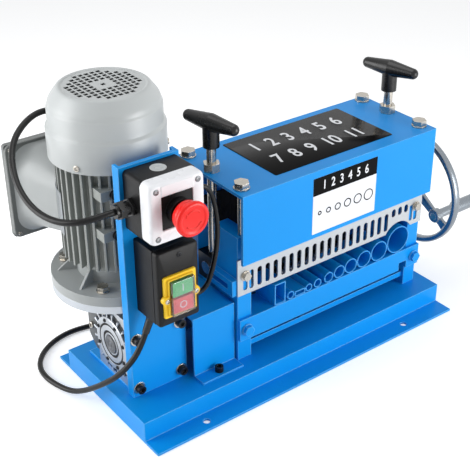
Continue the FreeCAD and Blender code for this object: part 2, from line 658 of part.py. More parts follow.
def make_handwheel():
    """Cast wheel with a flat rim and three spokes, and the crank that stands on one spoke."""
    rim = cut(rod("rim_radius", "rim_wide", "wheel_x - rim_wide / 2", "shaft_y", "blade_z", "x"),
              rod("rim_inner", "rim_wide + 2", "wheel_x - rim_wide / 2 - 1", "shaft_y", "blade_z", "x"))
    hub = rod("hand_hub_radius", "hand_hub_long", "wheel_x + rim_wide / 2 - hand_hub_long", "shaft_y", "blade_z", "x")
    spokes = []
    for number in range(3):
        spoke = doc.addObject("Part::Box", "Spoke")
        bind(spoke, Length="spoke_thick", Width="rim_inner + 2", Height="spoke_wide")
        swing = Rotation(Vector(1, 0, 0), sizes["spoke_angle"] + 120 * number)
        spoke.Placement = Placement(Vector(), swing)
        angle = f"(spoke_angle + {120 * number}) * 1 deg"
        put(spoke, "wheel_x - spoke_thick / 2", f"shaft_y + spoke_wide / 2 * sin({angle})",
            f"blade_z - spoke_wide / 2 * cos({angle})", swing)
        spokes.append(spoke)
    pin_y = "shaft_y + crank_reach * cos(spoke_angle * 1 deg)"
    pin_z = "blade_z + crank_reach * sin(spoke_angle * 1 deg)"
    boss = rod("crank_pin_radius + 5", "rim_wide", "wheel_x - rim_wide / 2", pin_y, pin_z, "x")
    bore = rod("blade_shaft_radius", "hand_hub_long + 2", "wheel_x + rim_wide / 2 - hand_hub_long - 1",
               "shaft_y", "blade_z", "x")
    pin_hole = rod("crank_pin_radius", "rim_wide + 2", "wheel_x - rim_wide / 2 - 1", pin_y, pin_z, "x")
    node("handwheel", cut(fuse(rim, hub, boss, *spokes), bore, pin_hole))
    face = "wheel_x + rim_wide / 2"
    pin = rod("crank_pin_radius", "rim_wide + crank_neck_long + crank_grip_long + 2", "wheel_x - rim_wide / 2",
              pin_y, pin_z, "x")
    head = rod("crank_pin_radius + 2.5", "3", f"{face} + crank_neck_long + crank_grip_long + 1.5", pin_y, pin_z, "x")
    node("crank_pin", fuse(pin, head))
    neck = rod("crank_neck_radius", "crank_neck_long - 3", f"{face} + 1", pin_y, pin_z, "x")
    flare = cone("crank_neck_radius", "crank_grip_radius", "5", f"{face} + crank_neck_long - 2", pin_y, pin_z, "x")
    grip = rod("crank_grip_radius", "crank_grip_long - 2", f"{face} + crank_neck_long + 3", pin_y, pin_z, "x")
    hole = rod("crank_pin_radius + running_gap", "crank_neck_long + crank_grip_long + 4", face, pin_y, pin_z, "x")
    node("crank_sleeve", cut(fuse(neck, flare, grip), hole))


def plate_screw_holes(radius, start, depth):
    """Cutters for the four screws that hold the gearbox to the motor plate."""
    return [rod(radius, depth, f"drive_x + {side} * plate_screw_reach", start, f"base_height + {level}", "y")
            for side in (-1, 1) for level in ("plate_screw_low", "plate_screw_high")]


def socket_screw(x, y, z, length, axis):
    """A socket-head screw: its shank runs up the axis from the head's seat, or down where it stands."""
    if axis == "y":
        shank = rod("plate_screw_radius", length, x, y, z, "y")
        head = rod("plate_screw_radius + 2.5", "7", x, f"{y} - 7", z, "y")
        socket = hexagon("6", "4", x, f"{y} - 8", z, "y")
    else:
        shank = rod("plate_screw_radius", length, x, y, f"{z} - ({length})")
        head = rod("plate_screw_radius + 2.5", "7", x, y, z)
        socket = hexagon("6", "4", x, y, f"{z} + 4")
    return cut(fuse(shank, head), socket)


def make_motor_plate():
    """Folded upright plate: its side edges turn back, and its foot runs under the gearbox."""
    left = "(drive_x - plate_wide / 2)"
    front = box("plate_wide", "plate_sheet", "plate_high", left, "-plate_front", BASE_TOP)
    returns = [box("plate_edge", "plate_return", "plate_high", x, "-plate_front", BASE_TOP)
               for x in (left, "drive_x + plate_wide / 2 - plate_edge")]
    foot = box("plate_wide - 2 * plate_edge", "plate_foot", "box_low - base_height", f"{left} + plate_edge",
               "-plate_front", BASE_TOP)
    holes = plate_screw_holes("plate_screw_radius + slide_gap", "-plate_front - 1", "plate_sheet + 2")
    node("motor_plate", cut(fuse(front, *returns, foot), *holes))
    screws = [socket_screw(f"drive_x + {side} * plate_screw_reach", "-plate_front", f"base_height + {level}",
                           "plate_sheet + 10", "y")
              for side in (-1, 1) for level in ("plate_screw_low", "plate_screw_high")]
    screws.append(socket_screw("guard_box_x", "-guard_box_front - guard_box_lip / 2",
                               "base_height + guard_box_sheet", "guard_box_sheet + base_sheet + 4", "z"))
    node("socket_screws", group(*screws))


def make_coupling_cover():
    """Folded sheet over the coupling: front, top and back, with a lip screwed to the base."""
    body = new_body("coupling_cover")
    body.setExpression("Placement.Base.x", formula("guard_box_x - guard_box_wide / 2"))
    sketch = new_sketch(body, "yz")
    front, back, skin = "-guard_box_front", "guard_box_back", "guard_box_sheet"
    polygon(sketch, [
        (f"{front} - guard_box_lip", BASE_TOP), (f"{front} + {skin}", BASE_TOP),
        (f"{front} + {skin}", f"guard_box_top - {skin}"), (f"{back} - {skin}", f"guard_box_top - {skin}"),
        (f"{back} - {skin}", BASE_TOP), (back, BASE_TOP), (back, "guard_box_top"), (front, "guard_box_top"),
        (front, f"base_height + {skin}"), (f"{front} - guard_box_lip", f"base_height + {skin}"),
    ])
    pad(body, sketch, "guard_box_wide")
    hole = new_sketch(body, "xy", BASE_TOP)
    circle(hole, "guard_box_wide / 2", f"{front} - guard_box_lip / 2", "plate_screw_radius + slide_gap")
    pocket(body, hole, skin)


def make_gearbox():
    """Worm gearbox: housing with input flange, side covers, worm wheel and output stub."""
    low, high = "box_low", "(feed_z + box_rise)"
    length = "2 * box_half"
    left = "drive_x - box_half"
    main = box(length, f"{MOTOR_Y} - ({PLATE_BACK})", f"{high} - {low}", left, PLATE_BACK, low)
    rear = rod("25", f"{high} - {low}", "drive_x", MOTOR_Y, low)
    hubs = rod("hub_radius", "2 * hub_half - 8", "drive_x - hub_half + 4", "shaft_y", "feed_z", "x")
    neck = rod("40", f"joint_z - {high} + 1", "drive_x", MOTOR_Y, f"{high} - 1")
    flange = rod("flange_radius", "joint_z - box_flange_z", "drive_x", MOTOR_Y, "box_flange_z")
    wheel_room = rod("wheel_radius + 2", "2 * hub_half", "drive_x - hub_half", "shaft_y", "feed_z", "x")
    worm_room = rod("worm_radius + 2.5", "joint_z - box_low", "drive_x", MOTOR_Y, "box_low + 6")
    bolt_holes = flange_holes("box_flange_z - 1", "joint_z - box_flange_z + 2")
    screw_holes = plate_screw_holes("plate_screw_radius + slide_gap", PLATE_BACK, "11")
    main_round = rounded(main, 2, along(Vector(0, 0, 1)))
    node("gearbox_housing", cut(fuse(main_round, rear, hubs, neck, flange), wheel_room, worm_room, *bolt_holes,
                                *screw_holes))
    covers = []
    for side in (-1, 1):
        x = "drive_x - hub_half" if side < 0 else "drive_x + hub_half - 4"
        disc = rod("hub_radius", "4", x, "shaft_y", "feed_z", "x")
        spigot_x = "drive_x - hub_half + 4" if side < 0 else "drive_x + hub_half - 10"
        spigot = rod("wheel_radius + 1.9", "6", spigot_x, "shaft_y", "feed_z", "x")
        bore = rod("output_radius + running_gap", "30", f"{spigot_x} - 12", "shaft_y", "feed_z", "x")
        covers.append(cut(fuse(disc, spigot), bore))
    node("gearbox_side_covers", group(*covers))
    wheel = rod("wheel_radius", "wheel_wide", "drive_x - wheel_wide / 2", "shaft_y", "feed_z", "x")
    tube = rod("output_radius", "2 * hub_half + 1", "drive_x - hub_half - 0.5", "shaft_y", "feed_z", "x")
    stub = rod("stub_radius", "coupling_x - spider_thick / 2 - drive_x - hub_half", "drive_x + hub_half", "shaft_y",
               "feed_z", "x")
    node("worm_wheel", fuse(wheel, tube, stub))


def flange_holes(z, length):
    """Bolt holes on the flange's pitch circle."""
    reach = "flange_pitch_radius * cos(45 deg)"
    return [rod("flange_bolt_radius + slide_gap", length, f"drive_x + {a} * {reach}", f"{MOTOR_Y} + {b} * {reach}", z)
            for a in (-1, 1) for b in (-1, 1)]


def make_motor():
    """Flange motor standing on the gearbox: end shield, finned frame, rotor, fan and cowl."""
    flange = rod("flange_radius", "motor_flange_z - joint_z", "drive_x", MOTOR_Y, "joint_z")
    neck = rod("frame_radius - 6", "frame_low - motor_flange_z", "drive_x", MOTOR_Y, "motor_flange_z")
    bore = rod("motor_shaft_radius + running_gap", "frame_low - joint_z + 2", "drive_x", MOTOR_Y, "joint_z - 1")
    gussets = []
    for number in range(8):
        gusset = doc.addObject("Part::Wedge", "Gusset")
        bind(gusset, Xmin=0, Xmax="flange_radius - 8", Ymin=0, Ymax="frame_low - motor_flange_z", Zmin=-1.5, Zmax=1.5,
             X2min=0, X2max="frame_radius - 5", Z2min=-1.5, Z2max=1.5)
        stand = Rotation(Vector(0, 0, 1), 22.5 + 45 * number).multiply(Rotation(Vector(1, 0, 0), 90))
        gussets.append(put(gusset, "drive_x", MOTOR_Y, "motor_flange_z", stand))
    node("motor_end_shield", cut(fuse(flange, neck, *gussets), bore,
                                 *flange_holes("joint_z - 1", "motor_flange_z - joint_z + 2")))
    bolts = []
    reach = "flange_pitch_radius * cos(45 deg)"
    for a in (-1, 1):
        for b in (-1, 1):
            x, y = f"drive_x + {a} * {reach}", f"{MOTOR_Y} + {b} * {reach}"
            shank = rod("flange_bolt_radius", "motor_flange_z - box_flange_z + 2", x, y, "box_flange_z - 1")
            washer = rod("8", "1.6", x, y, "motor_flange_z")
            head = hexagon("13", "5.5", x, y, "motor_flange_z + 1.6")
            nut = hexagon("13", "6.5", x, y, "box_flange_z - 6.5")
            bolts.append(fuse(shank, washer, head, nut))
    node("flange_bolts", group(*bolts))
    make_frame()
    shaft = rod("motor_shaft_radius", "fan_z + 16 - box_low - 12", "drive_x", MOTOR_Y, "box_low + 12")
    core = rod("rotor_radius", "90", "drive_x", MOTOR_Y, "frame_low + 22")
    worm = rod("worm_radius", "50", "drive_x", MOTOR_Y, "feed_z - 25")
    node("motor_rotor", fuse(shaft, core, worm))
    hub = rod("13", "16", "drive_x", MOTOR_Y, "fan_z")
    back_disc = rod("fan_radius", "1.8", "drive_x", MOTOR_Y, "fan_z")
    blades = []
    for number in range(8):
        blade = doc.addObject("Part::Box", "FanBlade")
        bind(blade, Length="fan_radius - 3", Width=2, Height=14)
        blades.append(put(blade, "drive_x", MOTOR_Y, "fan_z + 1", Rotation(Vector(0, 0, 1), 45 * number)))
    node("cooling_fan", cut(fuse(hub, back_disc, *blades),
                            rod("motor_shaft_radius", "20", "drive_x", MOTOR_Y, "fan_z - 1")))


def make_frame():
    """Finned motor frame with four lug pairs and the rotor's bore, on the motor's own axis."""
    body = new_body("motor_frame")
    body.setExpression("Placement.Base.x", formula("drive_x"))
    body.setExpression("Placement.Base.y", formula(MOTOR_Y))
    tube = new_sketch(body, "xy", "frame_low")
    circle(tube, "0", "0", "frame_radius")
    circle(tube, "0", "0", "rotor_radius + 1")
    pad(body, tube, "frame_top - frame_low")
    fin = new_sketch(body, "xy", "frame_low + 4")
    polygon(fin, [("frame_radius - 2", "-fin_thick / 2"), ("fin_reach", "-fin_thick / 2"),
                  ("fin_reach", "fin_thick / 2"), ("frame_radius - 2", "fin_thick / 2")])
    fin_pad = pad(body, fin, "frame_top - frame_low - 14")
    polar(body, fin_pad, tube, "N_Axis", 36)
    for height in ("frame_low + 50", "frame_low + 102"):
        lug = new_sketch(body, "xy", height)
        polygon(lug, [("-46", "-fin_reach + 4"), ("-18", "-fin_reach + 4"), ("-18", "-frame_radius + 20"),
                      ("-46", "-frame_radius + 20")])
        pad(body, lug, "12")
    for height, reach in (("frame_low", "rotor_radius + 2"), ("frame_top - 11.7", "cowl_radius - cowl_wall - slide_gap")):
        lid = new_sketch(body, "xy", height)
        circle(lid, "0", "0", reach)
        circle(lid, "0", "0", "motor_shaft_radius + running_gap")
        pad(body, lid, "11.7")


def make_cowl():
    """Pressed fan cowl: straight skirt, a step, a sloping shoulder and a flat square-holed grille."""
    body = lathe("cowl_shell", [
        ("cowl_radius - cowl_wall", "cowl_low"), ("cowl_radius", "cowl_low"), ("cowl_radius", "cowl_step_z - 3"),
        ("cowl_neck_radius", "cowl_step_z + 3"), ("cowl_neck_radius", "cowl_shoulder_z"),
        ("cowl_neck_radius - 4", "cowl_shoulder_z + 11"), ("cowl_flat_radius + 2", "cowl_top - 2"),
        ("cowl_flat_radius", "cowl_top"), ("0", "cowl_top"), ("0", "cowl_top - cowl_wall"),
        ("cowl_flat_radius - 1", "cowl_top - cowl_wall"), ("cowl_neck_radius - cowl_wall - 4", "cowl_shoulder_z + 9.5"),
        ("cowl_neck_radius - cowl_wall", "cowl_shoulder_z - 1"), ("cowl_neck_radius - cowl_wall", "cowl_step_z + 2.5"),
        ("cowl_radius - cowl_wall", "cowl_step_z - 3.5"),
    ])
    nodes.pop("cowl_shell")
    body.setExpression("Placement.Base.x", formula("drive_x"))
    body.setExpression("Placement.Base.y", formula(MOTOR_Y))
    pitch, hole = sizes["grille_pitch"], sizes["grille_hole"]
    reach = int(sizes["grille_radius"] // pitch)
    holes = []
    for across in range(-reach, reach + 1):
        for upward in range(-reach, reach + 1):
            distance = pitch * math.hypot(across, upward)
            if 1.5 * pitch < distance <= sizes["grille_radius"]:
                holes.append(box("grille_hole", "grille_hole", "cowl_wall + 4",
                                 f"drive_x + {across} * grille_pitch - grille_hole / 2",
                                 f"{MOTOR_Y} + {upward} * grille_pitch - grille_hole / 2", "cowl_top - cowl_wall - 2"))
    node("fan_cowl", cut(body, *holes))


def make_terminal_box():
    """Cast terminal box saddled on the back of the frame, with a flat lid and an entry boss on top."""
    start = f"({MOTOR_Y} + term_start)"
    depth = f"(term_face - {start})"
    body = wedge("term_inner_half", "term_half - term_lip", "term_inner_high / 2", "term_high / 2 - term_lip / 2",
                 depth, "drive_x", start, "term_z")
    lip = box("2 * term_half + 2 * term_lip", "term_flange", "term_high + 2 * term_lip",
              "drive_x - term_half - term_lip", "term_face", "term_z - term_high / 2 - term_lip")
    boss = rod("gland_flats / 2 + 2", "20", "entry_x", "entry_y", "entry_z - 20")
    room = wedge("term_inner_half - 2 * term_wall - 3", "term_half - term_lip - 2 * term_wall",
                 "term_inner_high / 2 - 2 * term_wall - 3", "term_high / 2 - term_lip / 2 - 2 * term_wall",
                 f"{depth} - 16", "drive_x", f"{start} + 24", "term_z")
    saddle = rod("fin_reach + 0.2", "term_high + 20", "drive_x", MOTOR_Y, "term_z - term_high / 2 - 10")
    node("terminal_box", cut(fuse(body, lip, boss), room, saddle, *screw_holes(terminal_screws())))
    lid = box("2 * term_half + 2 * term_lip", "term_lid", "term_high + 2 * term_lip", "drive_x - term_half - term_lip",
              "term_face + term_flange", "term_z - term_high / 2 - term_lip")
    node("terminal_box_lid", cut(rounded(lid, 4, along(Vector(0, 1, 0))), *screw_holes(terminal_screws())))


STOP_FACE = "(-plate_front - stop_base_deep - stop_cover_deep)"
LID_FACE = "(-plate_front - switch_base_deep - switch_lid_deep)"
EAR_Z = "(face_z - 2)"


def stop_screws():
    """Screw places on the stop box's cover."""
    return [(f"control_x + {a} * (stop_wide / 2 - 9)", STOP_FACE, f"stop_z + {b} * (stop_high / 2 - 8)", -1)
            for a in (-1, 1) for b in (-1, 1)]


def ear_screws():
    """Screw places on the faceplate's two ears."""
    return [(f"control_x + {side} * (button_wide / 2 + 6.5)", f"({LID_FACE} - face_thick - 3)", EAR_Z, -1)
            for side in (-1, 1)]


def lid_screws():
    """Screw place on the switch box's lid."""
    return [("control_x + 2", LID_FACE, "switch_low + switch_high - 9", -1)]


def terminal_screws():
    """Screw places on the terminal box's lid."""
    return [(f"drive_x + {a} * (term_half - 1)", "(term_face + term_flange + term_lid)",
             f"term_z + {b} * (term_high / 2 - 1)", 1) for a in (-1, 1) for b in (-1, 1)]


def screw_holes(places):
    """Cutters for the shanks of screws at the given places."""
    return [rod("screw_shank_radius + slide_gap", "screw_long + 1", x, y if way < 0 else f"{y} - screw_long - 1", z, "y")
            for x, y, z, way in places]


def small_screw(x, y, z, way):
    """A pan head with a cross, its shank pointing into the cover."""
    head = rod("screw_head_radius", "2", x, f"{y} - 2" if way < 0 else y, z, "y")
    shank = rod("screw_shank_radius", "screw_long", x, y if way < 0 else f"{y} - screw_long", z, "y")
    cross_y = f"{y} - 2.5" if way < 0 else f"{y} + 1"
    bars = [box("4", "1.5", "0.9", f"{x} - 2", cross_y, f"{z} - 0.45"),
            box("0.9", "1.5", "4", f"{x} - 0.45", cross_y, f"{z} - 2")]
    return cut(fuse(head, shank), *bars)


def shell(wide, deep, high, x, y, z, wall, open_front, radius):
    """A box shell from its low corner, open at its front or its back."""
    outer = rounded(box(wide, deep, high, x, y, z), radius, along(Vector(0, 1, 0)))
    inner_y = f"{y} - {wall}" if open_front else f"{y} + {wall}"
    inner = box(f"{wide} - 2 * {wall}", deep, f"{high} - 2 * {wall}", f"{x} + {wall}", inner_y, f"{z} + {wall}")
    return outer, inner


def make_stop_box():
    """Emergency stop: black base, white cover with a black insert, collar, plunger and mushroom cap."""
    left, low = "(control_x - stop_wide / 2)", "(stop_z - stop_high / 2)"
    seam = "(-plate_front - stop_base_deep)"
    outer, inner = shell("stop_wide", "stop_base_deep", "stop_high", left, seam, low, "shell_wall", True, 5)
    node("estop_base", cut(outer, inner))
    outer, inner = shell("stop_wide", "stop_cover_deep", "stop_high", left, STOP_FACE, low, "shell_wall", False, 6)
    window = box("stop_window", "shell_wall + 2", "stop_window", "control_x - stop_window / 2", f"{STOP_FACE} - 1",
                 "stop_z - stop_window / 2")
    node("estop_cover", cut(outer, inner, window, *screw_holes(stop_screws())))
    insert = box("stop_window - 0.2", "shell_wall", "stop_window - 0.2", "control_x - stop_window / 2 + 0.1",
                 f"{STOP_FACE} + 1.5", "stop_z - stop_window / 2 + 0.1")
    collar = rod("collar_radius", "collar_proud + 4", "control_x", f"{STOP_FACE} - collar_proud", "stop_z", "y")
    bore = rod("plunger_radius + running_gap", "60", "control_x", f"{STOP_FACE} - 30", "stop_z", "y")
    node("estop_collar", cut(fuse(insert, collar), bore))
    tip = "(-cap_front + 6)"
    node("estop_plunger", rod("plunger_radius", f"{STOP_FACE} + 25 - {tip}", "control_x", tip, "stop_z", "y"))
    dome = cone("cap_radius - 5.5", "cap_radius", "5", "control_x", "-cap_front", "stop_z", "y")
    skirt = rod("cap_radius", "cap_deep - 10", "control_x", "-cap_front + 5", "stop_z", "y")
    under = cone("cap_radius - 0.5", "collar_radius - 1", "5", "control_x", "-cap_front + cap_deep - 5", "stop_z", "y")
    socket = rod("plunger_radius + running_gap", "cap_deep", "control_x", tip, "stop_z", "y")
    node("estop_cap", cut(fuse(dome, skirt, under), socket))


def make_switch_box():
    """Start and stop switch: box, lid, yellow faceplate and two sprung buttons."""
    left = "(control_x - switch_wide / 2)"
    seam = "(-plate_front - switch_base_deep)"
    outer, inner = shell("switch_wide", "switch_base_deep", "switch_high", left, seam, "switch_low", "shell_wall",
                         True, 2)
    node("switch_box", cut(outer, inner))
    outer, inner = shell("switch_wide", "switch_lid_deep", "switch_high", left, LID_FACE, "switch_low", "shell_wall",
                         False, 2)
    window = box("button_wide + 2 * button_play", "30", "2 * button_high + button_gap + 2 * button_play",
                 "control_x - button_wide / 2 - button_play", f"{LID_FACE} - 10",
                 "face_z - button_high - button_gap / 2 - button_play")
    holes = screw_holes(ear_screws() + lid_screws())
    node("switch_lid", cut(outer, inner, window, *holes))
    face = box("face_wide", "face_thick", "face_high", "control_x - face_wide / 2", f"{LID_FACE} - face_thick",
               "face_z - face_high / 2")
    ears = [rod("5.5", "face_thick + 3", x, y, z, "y") for x, y, z, _ in ear_screws()]
    rim = box("button_wide + 8", "2", "2 * button_high + button_gap + 8", "control_x - button_wide / 2 - 4",
              f"{LID_FACE} - face_thick - 2", "face_z - button_high - button_gap / 2 - 4")
    node("switch_faceplate", cut(fuse(face, rim, *ears), window, *screw_holes(ear_screws())))
    for name, low in (("start_button", "face_z + button_gap / 2"),
                      ("stop_button", "face_z - button_gap / 2 - button_high")):
        cap = box("button_wide", "button_proud + face_thick + 14", "button_high", "control_x - button_wide / 2",
                  f"{LID_FACE} - face_thick - button_proud", low)
        node(name, rounded(cap, 1.5, along(Vector(0, 1, 0))))
    places = stop_screws() + lid_screws() + ear_screws() + terminal_screws()
    node("panel_screws", group(*[small_screw(*place) for place in places]))


def gland(x, y, z, axis, length, way):
    """A cable gland from its seat outwards: hexagon, threaded body and domed nut, with the lead's way through."""
    direction = {"x": "x", "z": "z"}[axis]

    def at(distance, long):
        """Low end of a piece that starts a distance from the seat."""
        shift = f"+ ({distance})" if way > 0 else f"- ({distance}) - ({long})"
        return (f"{x} {shift}", y, z) if axis == "x" else (x, y, f"{z} {shift}")

    foot = hexagon("gland_flats", "5", *at("0", "5"), direction)
    neck = rod("gland_flats / 2 - 1.5", f"{length} - 5", *at("5", f"{length} - 5"), direction)
    nut = hexagon("gland_flats", f"({length}) / 3", *at(f"({length}) / 2", f"({length}) / 3"), direction)
    return fuse(foot, neck, nut)


def make_glands():
    """Glands of the motor lead and grommets of the link lead."""
    left = "control_x - stop_wide / 2"
    pieces = [
        gland(f"{left}", "-lead_y", "stop_z", "x", "gland_long", -1),
        gland("entry_x", "entry_y", "entry_z", "z", "entry_long", 1),
        rod("grommet_radius", "grommet_long", "control_x + stop_wide / 2", "-lead_y", "link_high_z", "x"),
        rod("grommet_radius", "grommet_long", "control_x + switch_wide / 2", "-link_y", "link_low_z", "x"),
    ]
    node("cable_glands", group(*pieces))
    lean = Rotation(Vector(0, 0, 1), Vector(*RELIEF_WAY))
    boss = rod("5.5", "5", "relief_x", "relief_y", "switch_low - 5")
    taper = doc.addObject("Part::Cone", "Taper")
    bind(taper, Radius1=5, Radius2="mains_radius + 0.8", Height="relief_long")
    put(taper, "relief_x", "relief_y", "switch_low - 2.5", lean)
    node("mains_strain_relief", fuse(boss, taper))


def make_plug():
    """Moulded plug with three flat pins that lies on the floor past the coil."""
    start = "(coil_x + coil_tail)"
    y = "(coil_y - coil_radius)"
    z = "(mains_radius + coil_pitch)"
    relief = cone("mains_radius + 0.6", "7", "plug_relief", start, y, z, "x")
    body = box("plug_long", "plug_wide", f"2 * {z}", f"{start} + plug_relief - 1", f"{y} - plug_wide / 2", "0")
    moulding = rounded(body, 5, along(Vector(1, 0, 0)))
    face = f"({start} + plug_relief + plug_long - 2)"
    pins = [box("pin_long", "1.6", "6.4", face, f"{y} + 8", f"{z} - 5"),
            box("pin_long", "1.6", "6.4", face, f"{y} - 9.6", f"{z} - 5"),
            box("pin_long", "6.4", "1.6", face, f"{y} - 3.2", f"{z} + 5")]
    node("mains_plug", fuse(relief, moulding, *pins))


def bend(before, corner, after, reach_share=0.45):
    """The tangent arc at a corner: its ends, its middle and its radius."""
    back, onward = before - corner, after - corner
    reach = reach_share * min(back.Length, onward.Length)
    back.normalize()
    onward.normalize()
    turn = math.pi - back.getAngle(onward)
    radius = reach / math.tan(turn / 2)
    inward = (back + onward).normalize()
    middle = corner + inward * (radius / math.cos(turn / 2) - radius)
    return corner + back * reach, middle, corner + onward * reach, radius


def route_wire(points):
    """Straight runs joined by tangent arcs, and the radii of the arcs."""
    edges, radii, start = [], [], points[0]
    for before, corner, after in zip(points, points[1:], points[2:]):
        first, middle, last, radius = bend(before, corner, after)
        edges.append(Part.LineSegment(start, first).toShape())
        edges.append(Part.Arc(first, middle, last).toShape())
        radii.append(radius)
        start = last
    edges.append(Part.LineSegment(start, points[-1]).toShape())
    return Part.Wire(edges), radii


def biarc(start, start_way, end, end_way):
    """Two arcs that join two points along two directions."""
    chord = end - start
    ways = start_way + end_way
    spread = 2 * (1 - start_way.dot(end_way))
    lean = chord.dot(ways)
    reach = (math.sqrt(lean * lean + spread * chord.dot(chord)) - lean) / spread
    first_corner = start + start_way * reach
    second_corner = end - end_way * reach
    joint = (first_corner + second_corner) * 0.5
    arcs = []
    for low, corner, high in ((start, first_corner, joint), (joint, second_corner, end)):
        half_chord = (high - low).Length / 2
        share = half_chord / reach
        middle_chord = (low + high) * 0.5
        arcs.append(Part.Arc(low, middle_chord + (corner - middle_chord) * (share / (1 + share)), high).toShape())
    return arcs


def coil_point(angle, turns_end, climb_end):
    """Point of the coil's centre line: in on the lower layer, up in half a turn, out on the upper one."""
    pitch, outer = sizes["coil_pitch"], sizes["coil_radius"]
    rate = pitch / (2 * math.pi)
    low = sizes["mains_radius"]
    if angle <= turns_end:
        radius, height = outer - rate * angle, low
    elif angle <= climb_end:
        part = angle - turns_end
        radius = outer - rate * turns_end - rate * (part - part * part / math.pi)
        height = low + pitch * (1 - math.cos(part)) / 2
    else:
        radius, height = outer - rate * turns_end + rate * (angle - climb_end), low + pitch
    heading = angle - math.pi / 2
    return Vector(sizes["coil_x"] + radius * math.cos(heading), sizes["coil_y"] + radius * math.sin(heading), height)


def coil_wire():
    """Centre line of the put-away coil, with its straight ends, as quarter-turn biarcs."""
    turns_end = 2 * math.pi * sizes["coil_turns"]
    climb_end = turns_end + math.pi
    total = climb_end + turns_end
    count = round(total / (math.pi / 2))
    step = total / count

    def place(angle):
        """Point at an angle along the whole coil."""
        return coil_point(angle, turns_end, climb_end)

    def way(angle):
        """Direction at an angle, level and square to the straight ends at both ends."""
        if angle <= 0 or angle >= total:
            return Vector(1, 0, 0)
        small = 1e-4
        return (place(angle + small) - place(angle - small)).normalize()

    start, finish = place(0), place(total)
    edges = [Part.LineSegment(start - Vector(sizes["coil_lead_in"], 0, 0), start).toShape()]
    for number in range(count):
        low, high = number * step, (number + 1) * step
        edges += biarc(place(low), way(low), place(high), way(high))
    edges.append(Part.LineSegment(finish, finish + Vector(sizes["coil_tail"], 0, 0)).toShape())
    return Part.Wire(edges)


def least_gap(wire, radius):
    """Smallest clear gap of a tube to itself, measured between points of its centre line."""
    points = wire.discretize(Distance=2.0)
    skip = int(40 / 2.0)
    least = min((first - second).Length for number, first in enumerate(points)
                for second in points[number + skip:])
    return least - 2 * radius


def tube(name, wire, radius):
    """Sweep a round section along a wire, and compare its volume with its length."""
    start = wire.Edges[0].valueAt(wire.Edges[0].FirstParameter)
    way = wire.Edges[0].tangentAt(wire.Edges[0].FirstParameter)
    ring = Part.Wire([Part.Circle(start, way, radius).toShape()])
    shape = wire.makePipeShell([ring], True, False)
    ideal = math.pi * radius ** 2 * wire.Length
    print(f"{name}: length {wire.Length:.1f}, volume / ideal {shape.Volume / ideal:.5f}, valid {shape.isValid()}")
    item = doc.addObject("Part::Feature", name)
    item.Shape = shape
    item.Placement = Placement()
    node(name, item)


# Routes of the leads, in millimetres
MOTOR_ROUTE = [
    (-266.5, -60, 300), (-286.5, -49, 294.5), (-301, -25, 290), (-310, 6, 294), (-312, 36, 309), (-303, 66, 325),
    (-287, 92, 338), (-264, 112, 345.5), (-241, 125.5, 348.5), (-220, 131, 346.5), (-206, 131.5, 338),
    (-199, 131.5, 325),
]
LINK_ROUTE = [
    (-137, -60, 298), (-124.5, -60.5, 289), (-118.5, -61.5, 268), (-117, -64, 242), (-119.5, -66, 218),
    (-125.5, -68, 197), (-131, -68, 180.5), (-136.6, -67.5, 167.2), (-146.7, -66, 160.4),
]
MAINS_ROUTE = [
    (-225.5, -59.8, 117), (-236, -56.5, 97), (-249.5, -43, 72), (-259, -17, 47), (-266, 11, 24), (-273, 38, 8),
    (-279.5, 65, 3.6), (-284, 91, 3.6), (-279.5, 117, 3.6), (-263, 139, 3.6),
    (-239, 154, 3.6), (-212, 160.5, 3.6), (-184, 157, 3.6), (-158, 147, 3.6), (-131, 139, 3.6),
]


def make_leads():
    """Leads along their own routes, tied at their ends to glands, grommets and the coil."""
    motor = [Vector(measure("control_x - stop_wide / 2 - gland_long"), measure("-lead_y"), measure("stop_z"))]
    motor += [Vector(*point) for point in MOTOR_ROUTE]
    motor.append(Vector(measure("entry_x"), measure("entry_y"), measure("entry_z + entry_long")))
    link = [Vector(measure("control_x + stop_wide / 2 + grommet_long"), measure("-lead_y"), measure("link_high_z"))]
    link += [Vector(*point) for point in LINK_ROUTE]
    link.append(Vector(measure("control_x + switch_wide / 2 + grommet_long"), measure("-link_y"),
                       measure("link_low_z")))
    relief_tip = Vector(*RELIEF_WAY).normalize() * (sizes["relief_long"] + 0.05)
    mains = [Vector(measure("relief_x"), measure("relief_y"), measure("switch_low - 2.5")) + relief_tip]
    mains += [Vector(*point) for point in MAINS_ROUTE]
    mains.append(Vector(measure("coil_x - coil_lead_in"), measure("coil_y - coil_radius"), measure("mains_radius")))
    for name, points, size in (("motor_lead", motor, "motor_lead_radius"), ("link_lead", link, "link_lead_radius"),
                               ("mains_lead", mains, "mains_radius")):
        wire, radii = route_wire(points)
        print(f"{name}: radii " + ", ".join(f"{radius:.0f}" for radius in radii))
        tube(name, wire, sizes[size])
    coil = coil_wire()
    print(f"mains_coil: least gap to itself {least_gap(coil, sizes['mains_radius']):.2f}")
    tube("mains_coil", coil, sizes["mains_radius"])


make_base()
make_end_plate("left_end_plate", LEFT_MID, -1)
make_end_plate("right_end_plate", RIGHT_MID, 1)
make_cover()
node("cover_bolts", group(*[cover_bolt(middle, side) for middle in (LEFT_MID, RIGHT_MID) for side in (-1, 1)]))
node("adjuster_nuts", group(adjuster_nut(LEFT_MID), adjuster_nut(RIGHT_MID)))
make_t_handle("left", LEFT_MID)
make_t_handle("right", RIGHT_MID)
make_guide_bar()
make_guide_tubes()
make_chute()
make_guard()
make_feed()
make_blade_head()
make_handwheel()
make_motor_plate()
make_coupling_cover()
make_gearbox()
make_motor()
make_cowl()
make_terminal_box()
make_stop_box()
make_switch_box()
make_glands()
make_plug()
make_leads()
doc.recompute()

